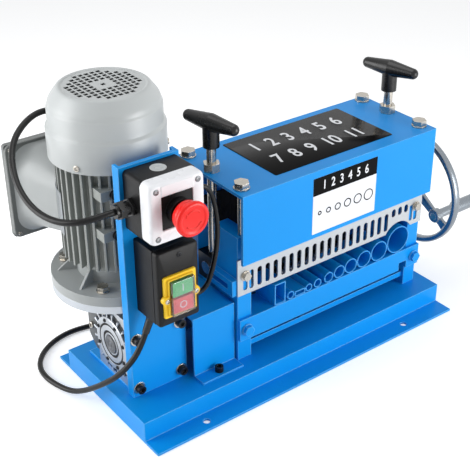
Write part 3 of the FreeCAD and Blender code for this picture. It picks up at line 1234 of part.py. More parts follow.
# Checks before anything is written
failed = [item.Label for item in doc.Objects if "Invalid" in item.State or "Error" in item.State]
if failed:
    raise RuntimeError("objects failed: " + ", ".join(failed))
bad = [name for name, item in nodes.items() if item.Shape.isNull() or not item.Shape.isValid()]
if bad:
    raise RuntimeError("sub-parts are not valid: " + ", ".join(bad))
os.makedirs("parts", exist_ok=True)
for name, item in nodes.items():
    item.Shape.exportStep(f"parts/{name}.step")
print(f"{len(nodes)} sub-parts written")
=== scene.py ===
# %% [markdown]
# # An electric wire stripping machine
# A small bench machine. A grey flange motor on a worm gearbox drives a knurled shaft under eleven guide
# tubes, and a second shaft above them carries the slitting discs. The shapes come ready from CAD. This
# script dresses them with leads, softer castings, prints and finishes.

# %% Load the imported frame
import math
import bmesh
import bpy
from mathutils import Matrix, Vector


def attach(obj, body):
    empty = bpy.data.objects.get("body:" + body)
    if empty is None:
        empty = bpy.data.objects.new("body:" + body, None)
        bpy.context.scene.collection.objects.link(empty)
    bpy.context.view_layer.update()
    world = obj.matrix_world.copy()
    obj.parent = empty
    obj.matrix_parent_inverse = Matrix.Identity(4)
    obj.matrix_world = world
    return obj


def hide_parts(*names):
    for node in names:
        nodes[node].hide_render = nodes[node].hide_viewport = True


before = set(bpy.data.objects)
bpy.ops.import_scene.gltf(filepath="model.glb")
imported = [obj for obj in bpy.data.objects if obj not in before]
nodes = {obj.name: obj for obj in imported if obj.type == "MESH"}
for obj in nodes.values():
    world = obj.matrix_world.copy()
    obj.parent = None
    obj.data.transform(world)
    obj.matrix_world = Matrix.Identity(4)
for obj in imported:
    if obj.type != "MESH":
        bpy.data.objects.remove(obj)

scene = bpy.context.scene
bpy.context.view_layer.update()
print("frame loaded with", len(nodes), "CAD nodes")

# %% [markdown]
# ## Camera
# The product photograph is taken from the front left and from above with a fairly long lens, so the edges
# run nearly parallel. Place and lens were worked out from the edges of the machine.

# %% Camera
def linked(name, data):
    """Make an object for some data and put it into the scene."""
    obj = bpy.data.objects.new(name, data)
    scene.collection.objects.link(obj)
    return obj


def aimed(obj, direction):
    """Turn a camera or lamp, which looks along its own -Z, to look in a direction."""
    obj.rotation_mode = "QUATERNION"
    obj.rotation_quaternion = Vector(direction).to_track_quat("-Z", "Y")


camera_data = bpy.data.cameras.new("product_camera")
camera_data.lens = 77.36
camera_data.sensor_width = 36
camera_data.shift_x, camera_data.shift_y = -0.0309, -0.0187
camera_data.clip_start = 0.05
camera = linked("product_camera", camera_data)
camera.location = (-0.70658, -0.89286, 0.81691)
aimed(camera, (0.52936, 0.68980, -0.49391))
scene.camera = camera
print("camera at", tuple(camera.location))

# %% [markdown]
# ## Small helpers
# One function turns a hex colour to linear light, and one adds a shader or geometry node. Another shades a
# finished mesh, ties it to its moving body and says which CAD nodes it stands for.

# %% Colour, node and piece helpers
FRAME = "machine_frame"
CREASE = math.radians(38)


def linear(hex_colour):
    """Turn an sRGB hex colour to the linear numbers that a shader takes."""
    channels = [int(hex_colour[i:i + 2], 16) / 255 for i in (1, 3, 5)]
    return tuple(c / 12.92 if c <= 0.04045 else ((c + 0.055) / 1.055) ** 2.4 for c in channels) + (1.0,)


def add(tree, kind, inputs=None, **settings):
    """Add a node: settings are its properties, inputs are numbers to set or sockets to link."""
    node = tree.nodes.new(kind)
    for name, value in settings.items():
        setattr(node, name, value)
    for name, value in (inputs or {}).items():
        if isinstance(value, bpy.types.NodeSocket):
            tree.links.new(value, node.inputs[name])
        else:
            node.inputs[name].default_value = value
    return node


def cleaned(name, shape):
    """Turn a bmesh into a mesh with its doubles merged and its faces outwards."""
    mesh = bpy.data.meshes.new(name)
    bmesh.ops.remove_doubles(shape, verts=shape.verts, dist=1e-6)
    bmesh.ops.recalc_face_normals(shape, faces=shape.faces)
    shape.to_mesh(mesh)
    shape.free()
    return mesh


def piece(name, shape, material, stands_for=(), body=FRAME):
    """Make a piece from a bmesh or a mesh, shade it and tie it to its moving body."""
    mesh = cleaned(name, shape) if isinstance(shape, bmesh.types.BMesh) else shape
    mesh.materials.clear()
    mesh.materials.append(material)
    for polygon in mesh.polygons:
        polygon.use_smooth = True
    mesh.set_sharp_from_angle(angle=CREASE)
    obj = linked(name, mesh)
    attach(obj, body)
    if stands_for:
        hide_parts(*stands_for)
    print("made", name, "with", len(mesh.polygons), "faces")


print("most ride on", FRAME)

# %% [markdown]
# ## Ways of making a form
# Three ways cover nearly all pieces: a skin over a stack of outlines, a profile spun as on a lathe, and
# copies of one small part set out by Geometry Nodes. Numbers are in millimetres, as on a drawing.

# %% Skin, lathe and outlines
def mm(x, y, z):
    """A point given in millimetres."""
    return Vector((x, y, z)) / 1000


def rounded(width, height, radius, steps=6):
    """Outline of a rectangle with round corners about its middle."""
    return [(a * (width / 2 - radius) + radius * math.cos(math.radians(90 * (corner + step / steps))),
             b * (height / 2 - radius) + radius * math.sin(math.radians(90 * (corner + step / steps))))
            for corner, (a, b) in enumerate(((1, 1), (-1, 1), (-1, -1), (1, -1)))
            for step in range(steps + 1)]


def skin(loops, shape=None, closed=False):
    """Skin a stack of outlines that have the same number of points, with both ends shut or joined."""
    shape = shape or bmesh.new()
    rows = [[shape.verts.new(point) for point in loop] for loop in loops]
    for low, high in list(zip(rows, rows[1:])) + ([(rows[-1], rows[0])] if closed else []):
        for here, there in zip(range(len(low)), list(range(1, len(low))) + [0]):
            shape.faces.new((low[here], low[there], high[there], high[here]))
    if not closed:
        shape.faces.new(rows[0])
        shape.faces.new(rows[-1])
    return shape


def turned(profile, centre, axis, shape=None, steps=64):
    """Spin a profile of (radius, place along the axis): a solid if it starts on the axis, else a ring."""
    loops = []
    for radius, along in profile:
        loop = []
        for step in range(steps):
            a, b = (max(radius, 1e-4) * f(2 * math.pi * step / steps) for f in (math.cos, math.sin))
            x, y, z = {"x": (along, a, b), "y": (a, along, b), "z": (a, b, along)}[axis]
            loop.append(mm(x + centre[0], y + centre[1], z + centre[2]))
        loops.append(loop)
    return skin(loops, shape, profile[0][0] > 0)


def faced_front(outlines, x, z, shape=None, closed=False):
    """Skin outlines (width, height, corner radius, y, maybe a lift) that face the front."""
    return skin([[mm(x + a, y, z + b + sum(lift)) for a, b in rounded(w, h, r)]
                 for w, h, r, y, *lift in outlines], shape, closed)


print("a rounded outline has", len(rounded(10, 10, 1)), "points")

# %% [markdown]
# ### Copies by Geometry Nodes
# Screws, washers and ribs repeat, so one node tree sets a stock part on a list of places, facing outwards,
# and gives each screw its own random turn, as a fitter leaves them. Instances would be lost in an export, so
# the tree makes them real.

# %% The tree that sets out copies
def started(name, **kinds):
    """A new tree with named inputs: the tree, the inputs' identifiers and the inputs to link."""
    tree = bpy.data.node_groups.new(name, "GeometryNodeTree")
    ids = {key: tree.interface.new_socket(key, in_out="INPUT", socket_type="NodeSocket" + kind).identifier
           for key, kind in kinds.items()}
    tree.interface.new_socket("Result", in_out="OUTPUT", socket_type="NodeSocketGeometry")
    return tree, ids, add(tree, "NodeGroupInput").outputs


def ended(tree, geometry, material):
    """Make a tree's copies real, give them a material and hand them out."""
    solid = add(tree, "GeometryNodeRealizeInstances", {"Geometry": geometry})
    coated = add(tree, "GeometryNodeSetMaterial", {"Geometry": solid.outputs[0], "Material": material})
    add(tree, "NodeGroupOutput", {"Result": coated.outputs[0]})
    print(tree.name, "has", len(tree.nodes), "nodes")


set_out, set_out_ids, given = started("set_out_copies", Places="Geometry", Stock="Object", Scatter="Float",
                                      Seed="Int", Finish="Material")
facing, outward = (add(set_out, "GeometryNodeInputNamedAttribute", {"Name": way}, data_type="FLOAT_VECTOR")
                   for way in ("facing", "outward"))
upright = add(set_out, "FunctionNodeAlignRotationToVector", {"Vector": facing.outputs["Attribute"]}, axis="Z")
turn = add(set_out, "FunctionNodeAlignRotationToVector",
           {"Rotation": upright.outputs[0], "Vector": outward.outputs["Attribute"]}, axis="X", pivot_axis="Z")
stock_part = add(set_out, "GeometryNodeObjectInfo", {"Object": given["Stock"]})
copies = add(set_out, "GeometryNodeInstanceOnPoints", {
    "Points": given["Places"], "Rotation": turn.outputs[0], "Instance": stock_part.outputs["Geometry"]})
chance = add(set_out, "FunctionNodeRandomValue", {2: 0.0, 3: given["Scatter"], "Seed": given["Seed"]},
             data_type="FLOAT")
about = add(set_out, "ShaderNodeCombineXYZ", {"Z": chance.outputs[1]})
spun = add(set_out, "GeometryNodeRotateInstances", {
    "Instances": copies.outputs[0], "Rotation": about.outputs[0], "Local Space": True})
ended(set_out, spun.outputs[0], given["Finish"])

# %% [markdown]
# ### A perforated disc
# A press punches the cowl's end with square holes on one grid. The tree does the same: it drops the points
# of a lattice outside a circle and round the middle, and fills the sheet between the rim and the squares.

# %% The tree that perforates a disc
GRID_POINTS = 11

grille, grille_ids, given = started("perforated_disc", Pitch="Float", Hole="Float", Reach="Float",
                                    Blank="Float", Rim="Float", Sheet="Float", Finish="Material")
span = add(grille, "ShaderNodeMath", {0: given["Pitch"], 1: GRID_POINTS - 1.0}, operation="MULTIPLY")
lattice = add(grille, "GeometryNodeMeshGrid", {
    "Size X": span.outputs[0], "Size Y": span.outputs[0], "Vertices X": GRID_POINTS, "Vertices Y": GRID_POINTS})
away = add(grille, "ShaderNodeVectorMath", {0: add(grille, "GeometryNodeInputPosition").outputs[0]},
           operation="LENGTH")
far, near, not_centre = (
    add(grille, "FunctionNodeCompare", {0: away.outputs["Value"], 1: limit}, operation=test + "_THAN")
    for limit, test in ((given["Reach"], "GREATER"), (given["Blank"], "LESS"), (0.001, "GREATER")))
ring_left_plain = add(grille, "FunctionNodeBooleanMath", {0: near.outputs[0], 1: not_centre.outputs[0]})
plain = add(grille, "FunctionNodeBooleanMath", {0: far.outputs[0], 1: ring_left_plain.outputs[0]},
            operation="OR")
kept = add(grille, "GeometryNodeDeleteGeometry", {
    "Geometry": lattice.outputs["Mesh"], "Selection": plain.outputs[0]}, domain="POINT")
square = add(grille, "GeometryNodeCurvePrimitiveQuadrilateral", {
    "Width": given["Hole"], "Height": given["Hole"]})
holes = add(grille, "GeometryNodeInstanceOnPoints", {"Points": kept.outputs[0], "Instance": square.outputs[0]})
rim = add(grille, "GeometryNodeCurvePrimitiveCircle", {"Resolution": 96, "Radius": given["Rim"]})
outlines = add(grille, "GeometryNodeJoinGeometry", {0: holes.outputs[0]})
grille.links.new(rim.outputs[0], outlines.inputs[0])
cut_outlines = add(grille, "GeometryNodeRealizeInstances", {"Geometry": outlines.outputs[0]})
blank = add(grille, "GeometryNodeFillCurve", {"Curve": cut_outlines.outputs[0]})
pressed = add(grille, "GeometryNodeExtrudeMesh", {
    "Mesh": blank.outputs[0], "Offset Scale": given["Sheet"], "Individual": False})
underside = add(grille, "GeometryNodeFlipFaces", {"Mesh": blank.outputs[0]})
both_faces = add(grille, "GeometryNodeJoinGeometry", {0: underside.outputs[0]})
grille.links.new(pressed.outputs[0], both_faces.inputs[0])
ended(grille, both_faces.outputs[0], given["Finish"])

# %% [markdown]
# ### From a tree to a plain mesh
# A tree works on a mesh of places, each with the way it faces. The result becomes a plain mesh at once.

# %% Run a tree and set out copies
ANY_TURN = 6.28
FRONT, BACK, LEFT = (0, -1, 0), (0, 1, 0), (-1, 0, 0)


def grown(name, tree, ids, settings, seeds=()):
    """Run a node tree on a mesh of places and hand back the finished mesh."""
    places = bpy.data.meshes.new(name + "_places")
    places.from_pydata([mm(*seed[0]) for seed in seeds] or [(0, 0, 0)], [], [])
    for number, name_of_way in ((1, "facing"), (2, "outward")):
        ways = places.attributes.new(name_of_way, "FLOAT_VECTOR", "POINT")
        for item, seed in zip(ways.data, seeds):
            item.vector = seed[number] if len(seed) > number else (0, 0, 0)
    holder = linked(name + "_holder", places)
    layer = holder.modifiers.new("grow", "NODES")
    layer.node_group = tree
    for key, value in settings.items():
        layer[ids[key]] = value
    mesh = bpy.data.meshes.new_from_object(holder.evaluated_get(bpy.context.evaluated_depsgraph_get()))
    holder.modifiers.clear()
    bpy.data.objects.remove(holder)
    return mesh


def copies_of(name, stock, seeds, material, stands_for=(), scatter=ANY_TURN):
    """Set out copies of a stock part at (place, facing, maybe outward) as one piece."""
    master = linked(name + "_stock", cleaned(name + "_stock", stock))
    settings = {"Stock": master, "Scatter": scatter, "Seed": 7, "Finish": material}
    whole = grown(name, set_out, set_out_ids, settings, seeds)
    bpy.data.objects.remove(master)
    piece(name, whole, material, stands_for)


def spots(across, y, heights, way):
    """Places at every x and z of two lists, all facing one way."""
    return [((x, y, z), way) for x in across for z in heights]


print("ways to face:", FRONT, BACK, LEFT)

# %% [markdown]
# ### Stock screws
# A head is a skin over outlines that shrink to its edge and sink into the recess. One loop of 24 points can
# be a circle, a cross or a hexagon, so nothing has to be cut out.

# %% Screw heads
def star(radius_at, height):
    """A loop of 24 points whose radius depends on the angle."""
    return [mm(radius_at(a) * math.cos(a), radius_at(a) * math.sin(a), height)
            for a in (2 * math.pi * step / 24 for step in range(24))]


def cross(angle):
    """Radius of a cross-shaped recess, 4.2 mm across with arms 1.1 mm wide."""
    part = abs((angle + math.pi / 4) % (math.pi / 2) - math.pi / 4)
    return min(2.1 / math.cos(part), 0.55 / max(math.sin(part), 0.05))


def hexagonal(flats):
    """Radius of a hexagon at an angle, by its width across flats."""
    return lambda angle: flats / 2 / math.cos((angle + math.pi / 6) % (math.pi / 3) - math.pi / 6)


def cross_screw(radius, high):
    """A pan-head screw with a cross recess, its head on the plane z = 0."""
    return skin([star(lambda a, r=r: r * radius, h * high) for r, h in
                 ((0.9, -0.3), (1, 0), (1, 0.45), (0.93, 0.75), (0.78, 0.94), (0.66, 1.0))]
                + [star(cross, high), star(cross, high - 1.0), star(lambda a: 0.1, high - 1.3)])


def socket_head(radius, high):
    """A cylinder-head screw with a hexagon socket."""
    return skin([star(lambda a, r=r: r, h) for r, h in
                 ((radius * 0.9, -0.3), (radius, 0), (radius, high - 0.5), (radius - 0.5, high))]
                + [star(hexagonal(radius * 1.1), high), star(hexagonal(radius * 1.1), high - 2.4),
                   star(lambda a: 0.1, high - 2.6)])


print("the cross is", round(2 * cross(0), 1), "mm across")

# %% [markdown]
# ## The leads
# Three round black PVC leads: from the stop box up to the terminal box, between the two control boxes, and
# the mains lead. A NURBS curve suits them, because a lead bends evenly and never kinks. The points are those
# of the CAD routes, in metres.

# %% Routes of the leads
MOTOR_ROUTE = [
    (-0.2485, -0.06, 0.3), (-0.2665, -0.06, 0.3), (-0.2865, -0.049, 0.2945), (-0.301, -0.025, 0.29),
    (-0.31, 0.006, 0.294), (-0.312, 0.036, 0.309), (-0.303, 0.066, 0.325), (-0.287, 0.092, 0.338),
    (-0.264, 0.112, 0.3455), (-0.241, 0.1255, 0.3485), (-0.22, 0.131, 0.3465), (-0.206, 0.1315, 0.338),
    (-0.199, 0.1315, 0.325), (-0.199, 0.1315, 0.312),
]
LINK_ROUTE = [
    (-0.151, -0.06, 0.298), (-0.137, -0.06, 0.298), (-0.1245, -0.0605, 0.289), (-0.1185, -0.0615, 0.268),
    (-0.117, -0.064, 0.242), (-0.1195, -0.066, 0.218), (-0.1255, -0.068, 0.197), (-0.131, -0.068, 0.1805),
    (-0.1366, -0.0675, 0.1672), (-0.1467, -0.066, 0.1604), (-0.159, -0.066, 0.1604),
]
MAINS_ROUTE = [
    (-0.219725, -0.060796, 0.131836), (-0.2255, -0.0598, 0.117), (-0.236, -0.0565, 0.097),
    (-0.2495, -0.043, 0.072), (-0.259, -0.017, 0.047), (-0.266, 0.011, 0.024), (-0.273, 0.038, 0.008),
    (-0.2795, 0.065, 0.0036), (-0.284, 0.091, 0.0036), (-0.2795, 0.117, 0.0036), (-0.263, 0.139, 0.0036),
    (-0.239, 0.154, 0.0036), (-0.212, 0.1605, 0.0036), (-0.184, 0.157, 0.0036), (-0.158, 0.147, 0.0036),
    (-0.131, 0.139, 0.0036), (-0.104, 0.139, 0.0036), (-0.095, 0.139, 0.0036),
]
print("routes have", len(MOTOR_ROUTE), len(LINK_ROUTE), len(MAINS_ROUTE), "points")

# %% [markdown]
# ### The coil that is put away
# Most of the mains lead lies in a coil behind the machine. A hand winds it inwards on the bench, steps up
# and winds outwards on top, so the formula has those three parts.

# %% Coil of the mains lead
COIL_MIDDLE, COIL_REACH, COIL_PITCH, COIL_TURNS = (-0.095, 0.19), 0.051, 0.0079, 2.25
COIL_LOW, POINTS_A_TURN = 0.0036, 18
COIL_TAIL = [(-0.083, 0.139, 0.0115), (-0.059, 0.139, 0.0115)]


def coil_turns():
    """Control points of the coil: inwards on the floor, up in half a turn, outwards on top."""
    rate = COIL_PITCH / (2 * math.pi)
    turns_end = 2 * math.pi * COIL_TURNS
    climb_end = turns_end + math.pi
    inmost = COIL_REACH - rate * turns_end
    points = []
    count = round((climb_end + turns_end) / (2 * math.pi) * POINTS_A_TURN)
    for number in range(1, count + 1):
        angle = (climb_end + turns_end) * number / count
        if angle <= turns_end:
            radius, height = COIL_REACH - rate * angle, COIL_LOW
        elif angle <= climb_end:
            part = angle - turns_end
            radius = inmost - rate * (part - part * part / math.pi)
            height = COIL_LOW + COIL_PITCH * (1 - math.cos(part)) / 2
        else:
            radius, height = inmost + rate * (angle - climb_end), COIL_LOW + COIL_PITCH
        heading = angle - math.pi / 2
        points.append((COIL_MIDDLE[0] + radius * math.cos(heading),
                       COIL_MIDDLE[1] + radius * math.sin(heading), height))
    return points


coil = coil_turns()
print("coil has", len(coil), "control points")

# %% [markdown]
# ### Drawing the leads
# Each lead is one spline with a round bevel. Its points' radius holds the thickness, because Blender
# measures a curve's box by that radius.

# %% Draw the leads
def lead(name, points, radius, stands_for):
    """A lead as one open NURBS spline with a round bevel; the points carry its radius."""
    data = bpy.data.curves.new(name, "CURVE")
    data.dimensions = "3D"
    data.bevel_depth = 1.0
    data.bevel_resolution = 5
    data.use_fill_caps = True
    data.resolution_u = 8
    spline = data.splines.new("NURBS")
    spline.points.add(len(points) - 1)
    for point, place in zip(spline.points, points):
        point.co = (*place, 1)
        point.radius = radius
    spline.order_u = 3
    spline.use_endpoint_u = True
    obj = linked(name, data)
    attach(obj, FRAME)
    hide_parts(*stands_for)
    return obj


motor_lead = lead("motor_lead_sheath", MOTOR_ROUTE, 0.00375, ["motor_lead"])
link_lead = lead("link_lead_sheath", LINK_ROUTE, 0.003, ["link_lead"])
mains_lead = lead("mains_lead_sheath", MAINS_ROUTE + coil + COIL_TAIL, 0.0036, ["mains_lead", "mains_coil"])
print("leads drawn:", motor_lead.name, link_lead.name, mains_lead.name)

# %% [markdown]
# ## Floor and world
# A white studio sweep. The world is white only for the camera, for reflections and behind clear plastic, and
# dimmer as a light, so colours come out as written. The paper does the same with a glow.

# %% Floor and world
ROOM_LIGHT = 0.42


def background_ray(tree):
    """1 where the camera, a reflection or clear plastic looks at the background, else 0."""
    path = add(tree, "ShaderNodeLightPath")
    mirror = add(tree, "ShaderNodeMath", {0: path.outputs["Is Camera Ray"], 1: path.outputs["Is Glossy Ray"]},
                 operation="MAXIMUM")
    return add(tree, "ShaderNodeMath", {0: mirror.outputs[0], 1: path.outputs["Is Transmission Ray"]},
               operation="MAXIMUM").outputs[0]


world = bpy.data.worlds.new("studio_world")
scene.world = world
world.use_nodes = True
sky = world.node_tree
sky.nodes.clear()
dim = add(sky, "ShaderNodeBackground", {"Color": (0.96, 0.98, 1.0, 1), "Strength": ROOM_LIGHT})
white = add(sky, "ShaderNodeBackground", {"Color": (1, 1, 1, 1), "Strength": 1.0})
shown = add(sky, "ShaderNodeMixShader", {0: background_ray(sky), 1: dim.outputs[0], 2: white.outputs[0]})
add(sky, "ShaderNodeOutputWorld", {"Surface": shown.outputs[0]})

# Matt white paper with a faint fleck, 2.5 mm apart: it shows the shadow and nothing else.
floor_paper = bpy.data.materials.new("matt_white_paper_sweep")
floor_paper.use_nodes = True
paper = floor_paper.node_tree
paper.nodes.clear()
paper_fleck = add(paper, "ShaderNodeTexNoise", {
    "Vector": add(paper, "ShaderNodeTexCoord").outputs["Object"], "Scale": 400.0})
paper_tone = add(paper, "ShaderNodeMix", {
    "Factor": paper_fleck.outputs["Fac"], "A": linear("#f0f0f0"), "B": linear("#f4f4f4")}, data_type="RGBA")
paper_skin = add(paper, "ShaderNodeBsdfDiffuse", {"Color": paper_tone.outputs["Result"]})
paper_lift = add(paper, "ShaderNodeMath", {0: background_ray(paper), 1: ROOM_LIGHT}, operation="MULTIPLY")
paper_glow = add(paper, "ShaderNodeEmission", {"Color": (1, 1, 1, 1), "Strength": paper_lift.outputs[0]})
paper_sum = add(paper, "ShaderNodeAddShader", {0: paper_skin.outputs[0], 1: paper_glow.outputs[0]})
add(paper, "ShaderNodeOutputMaterial", {"Surface": paper_sum.outputs[0]})

sweep = bmesh.new()
bmesh.ops.create_grid(sweep, x_segments=4, y_segments=4, size=4.0, matrix=Matrix.Translation((0, 0, -0.0004)))
sweep_mesh = bpy.data.meshes.new("floor_sweep")
sweep.to_mesh(sweep_mesh)
sweep_mesh.materials.append(floor_paper)
floor_sweep = linked("floor_sweep", sweep_mesh)
print("floor and world are ready")

# %% [markdown]
# ## Lamps
# Softboxes give the broad gleams of a product photograph: one in front, a low one for the base, one at the
# left for the motor, and a weak one above.

# %% Lamps
def soft_lamp(name, place, aim, size, power):
    """A rectangular softbox that looks at a point."""
    data = bpy.data.lights.new(name, "AREA")
    data.shape = "RECTANGLE"
    data.size, data.size_y = size
    data.energy = power
    lamp = linked(name, data)
    lamp.location = place
    aimed(lamp, Vector(aim) - Vector(place))


soft_lamp("front_softbox", (0.8, -1.5, 0.45), (0.0, 0.0, 0.14), (0.9, 0.8), 15)
soft_lamp("left_softbox", (-1.35, 0.6, 0.6), (-0.15, 0.0, 0.22), (0.9, 1.3), 19)
soft_lamp("top_softbox", (0.0, 0.25, 1.7), (0.0, 0.0, 0.1), (1.2, 0.8), 7)
soft_lamp("low_front_softbox", (0.5, -1.2, 0.14), (0.05, 0.0, 0.03), (0.9, 0.22), 3.5)

# %% [markdown]
# ## Finishes
# Every finish starts from a Principled shader and gets three things on top: a slow patchiness of colour
# and gloss, a fine grain, and softened edges that are lightened, partly as wear where paint is thinner and
# metal is polished, partly as a painted highlight. Sizes are in millimetres. Blasted, plated and moulded
# skins have a grain of about a tenth of a millimetre, too fine to show, so it is drawn at 0.25 to 0.9 mm.

# %% The finish recipe
FLAT, SHARP = 0.985, 0.80


def finish(name, colour, rough, grain_mm, relief_mm, patch=(60, 0.05), rough_range=0.06, edge_mm=0.6,
           edge_wear_and_highlight=None, specular=0.5, **shader):
    """A material: patch is (mm across, share); the edge pair is the (colour, share) of a lighter edge, partly
    wear and partly a painted highlight.
    """
    material = bpy.data.materials.new(name)
    material.use_nodes = True
    tree = material.node_tree
    tree.nodes.clear()
    place = add(tree, "ShaderNodeTexCoord").outputs["Object"]
    base = linear(colour)
    patches = add(tree, "ShaderNodeTexNoise", {
        "Vector": place, "Scale": 1000 / patch[0], "Detail": 4.0, "Roughness": 0.6})
    tone = add(tree, "ShaderNodeMix", {"Factor": patches.outputs["Fac"],
                                       "A": tuple(c * (1 - patch[1]) for c in base[:3]) + (1,),
                                       "B": tuple(min(1, c * (1 + patch[1])) for c in base[:3]) + (1,)},
               data_type="RGBA")
    soft = add(tree, "ShaderNodeBevel", {"Radius": edge_mm / 1000}, samples=4)
    colour_out = tone.outputs["Result"]
    # The edges are mixed towards a lighter colour: partly wear, partly a painted highlight along each edge.
    if edge_wear_and_highlight:
        flat = add(tree, "ShaderNodeNewGeometry")
        level = add(tree, "ShaderNodeVectorMath", {0: soft.outputs[0], 1: flat.outputs["Normal"]},
                    operation="DOT_PRODUCT")
        wear_and_highlight_share = add(tree, "ShaderNodeMapRange", {
            "Value": level.outputs["Value"], "From Min": FLAT, "From Max": SHARP, "To Max": edge_wear_and_highlight[1]})
        colour_out = add(tree, "ShaderNodeMix", {
            "Factor": wear_and_highlight_share.outputs[0], "A": colour_out, "B": linear(edge_wear_and_highlight[0])},
            data_type="RGBA").outputs["Result"]
    grain = add(tree, "ShaderNodeTexNoise", {"Vector": place, "Scale": 1000 / grain_mm, "Detail": 3.0})
    bump = add(tree, "ShaderNodeBump", {
        "Height": grain.outputs["Fac"], "Distance": relief_mm / 1000, "Normal": soft.outputs[0]})
    gloss = add(tree, "ShaderNodeMapRange", {
        "Value": patches.outputs["Fac"], "From Min": 0.3, "From Max": 0.7, "To Min": rough - rough_range,
        "To Max": rough + rough_range})
    coat = add(tree, "ShaderNodeBsdfPrincipled",
               {"Base Color": colour_out, "Roughness": gloss.outputs[0], "Normal": bump.outputs[0],
                "Specular IOR Level": specular, **shader})
    add(tree, "ShaderNodeOutputMaterial", {"Surface": coat.outputs[0]})
    return material


def dress(material, *names):
    """Give CAD nodes a finish."""
    for name in names:
        mesh = nodes[name].data
        if not mesh.materials:
            mesh.materials.append(material)
        for index in range(len(mesh.materials)):
            mesh.materials[index] = material
    print(material.name, "on", ", ".join(names))


# %% [markdown]
# ### Powder-coated sheet steel, sky blue
# Polyester powder is sprayed on and baked, so it levels into a satin skin with a faint orange peel of
# about 2 mm. It pulls thin over folded edges, and those get a lighter line, mostly a painted highlight.

# %% Blue powder coat
# Deep, even blue with pale edges, a painted highlight: the peel is shallow, so gleams stay broad.
blue_coat = finish("powder_coated_steel_sky_blue", "#0691e3", 0.36, 2.0, 0.016, patch=(90, 0.04),
                   edge_mm=1.7, edge_wear_and_highlight=("#7accff", 1.0), specular=0.22)
dress(blue_coat, "base_tray", "left_end_plate", "right_end_plate", "top_cover", "guide_bar",
      "tall_guide_tube", "flat_guide_tube", "round_guide_tubes", "waste_chute", "motor_plate",
      "coupling_cover", "guide_bar_bolts")

# %% [markdown]
# ### Grey machinery enamel on castings and on the pressed cowl
# The frame and terminal box are cast aluminium under sprayed enamel, so a grain shows through. The fan cowl
# is pressed sheet, smoother and glossier.

# %% Grey enamels
# Light grey, with a sandy skin that breaks up gleams.
grey_casting = finish("grey_enamel_on_cast_aluminium", "#9da1a1", 0.42, 0.7, 0.03, patch=(35, 0.06),
                      edge_mm=0.8, edge_wear_and_highlight=("#d6dada", 0.6))
# Smooth: soft, clean gleams across the cowl, from a thin clear coat.
grey_pressing = finish("grey_enamel_on_pressed_steel", "#b6baba", 0.34, 1.6, 0.008, patch=(80, 0.03),
                       edge_mm=1.0, edge_wear_and_highlight=("#d8dcdc", 0.4), **{"Coat Weight": 0.1, "Coat Roughness": 0.3})
# Darker all over, a painted shade for the deep valleys, with a painted highlight on the edges so the fins stand
# out.
fin_enamel_painted_shade = finish("grey_enamel_with_painted_fin_shade", "#8b8f8c", 0.42, 0.7, 0.03, patch=(35, 0.08),
                   edge_mm=0.9, edge_wear_and_highlight=("#dde0df", 0.9))
# Unpainted: dark, half metallic and dull.
dark_casting = finish("bare_grey_die_casting", "#5d6062", 0.5, 0.6, 0.04, patch=(20, 0.1), edge_mm=0.9,
                      edge_wear_and_highlight=("#c4c8ca", 0.7), Metallic=0.5)
# A darker grey, a painted shade, so lid and rim stand apart from the box.
lid_and_rim_painted_shade = finish("grey_enamel_painted_shade_on_lid_and_rim", "#6b6e6d", 0.42, 0.7, 0.03, patch=(35, 0.06),
                    edge_mm=0.9, edge_wear_and_highlight=("#b9bdbc", 0.6))
dress(grey_casting, "motor_end_shield")
dress(lid_and_rim_painted_shade, "terminal_box_lid")
dress(fin_enamel_painted_shade, "motor_frame")

# %% [markdown]
# ### Bare metals
# A bare metal takes its look from how it was worked: cast, rolled, ground, plated, blackened or polished.

# %% Bare metals
# Shot-blasted: dull and slightly grainy.
cast_alloy = finish("die_cast_aluminium_shot_blasted", "#b9bec4", 0.38, 0.6, 0.04, patch=(30, 0.08),
                    edge_wear_and_highlight=("#f2f4f6", 0.6), Metallic=0.85)
# Bright and a little warm, with a light scatter.
zinc_steel = finish("zinc_plated_steel", "#b9b4ab", 0.24, 0.5, 0.01, patch=(8, 0.14), edge_mm=0.4,
                    edge_wear_and_highlight=("#f4f2ee", 0.4), Metallic=1.0)
# Pale and even, with hardly a mirror.
rolled_sheet = finish("dull_rolled_stainless_sheet", "#b6babd", 0.45, 0.8, 0.006, patch=(40, 0.04),
                      edge_mm=0.4, edge_wear_and_highlight=("#e6e8ea", 0.5), Metallic=0.6)
# Grey, darker than its plated neighbours.
screw_steel = finish("bare_steel_screw", "#7c7e80", 0.36, 0.4, 0.01, patch=(5, 0.15), edge_mm=0.3,
                     edge_wear_and_highlight=("#e8e8e8", 0.5), Metallic=0.85)
# Nearly black, with bright wear on the edges.
black_oxide = finish("black_oxide_steel", "#1a1b1e", 0.34, 0.4, 0.01, patch=(6, 0.15), edge_mm=0.4,
                     edge_wear_and_highlight=("#77797d", 0.5), Metallic=0.6)
# Ground: nearly a mirror.
tool_steel = finish("ground_tool_steel", "#a4a7ab", 0.22, 0.25, 0.006, patch=(20, 0.06), edge_mm=0.3,
                    edge_wear_and_highlight=("#f0f0f0", 0.5), Metallic=1.0)
# Dark grey, with dull tool marks.
grey_iron = finish("machined_grey_iron", "#6c6e71", 0.4, 0.4, 0.03, patch=(12, 0.12), Metallic=0.9)
# Buffed: long soft gleams round the wheel's rim.
polished_alloy = finish("polished_cast_aluminium", "#8d949b", 0.24, 0.9, 0.003, patch=(25, 0.05),
                        edge_mm=1.0, edge_wear_and_highlight=("#e8ebee", 0.4), Metallic=0.9)
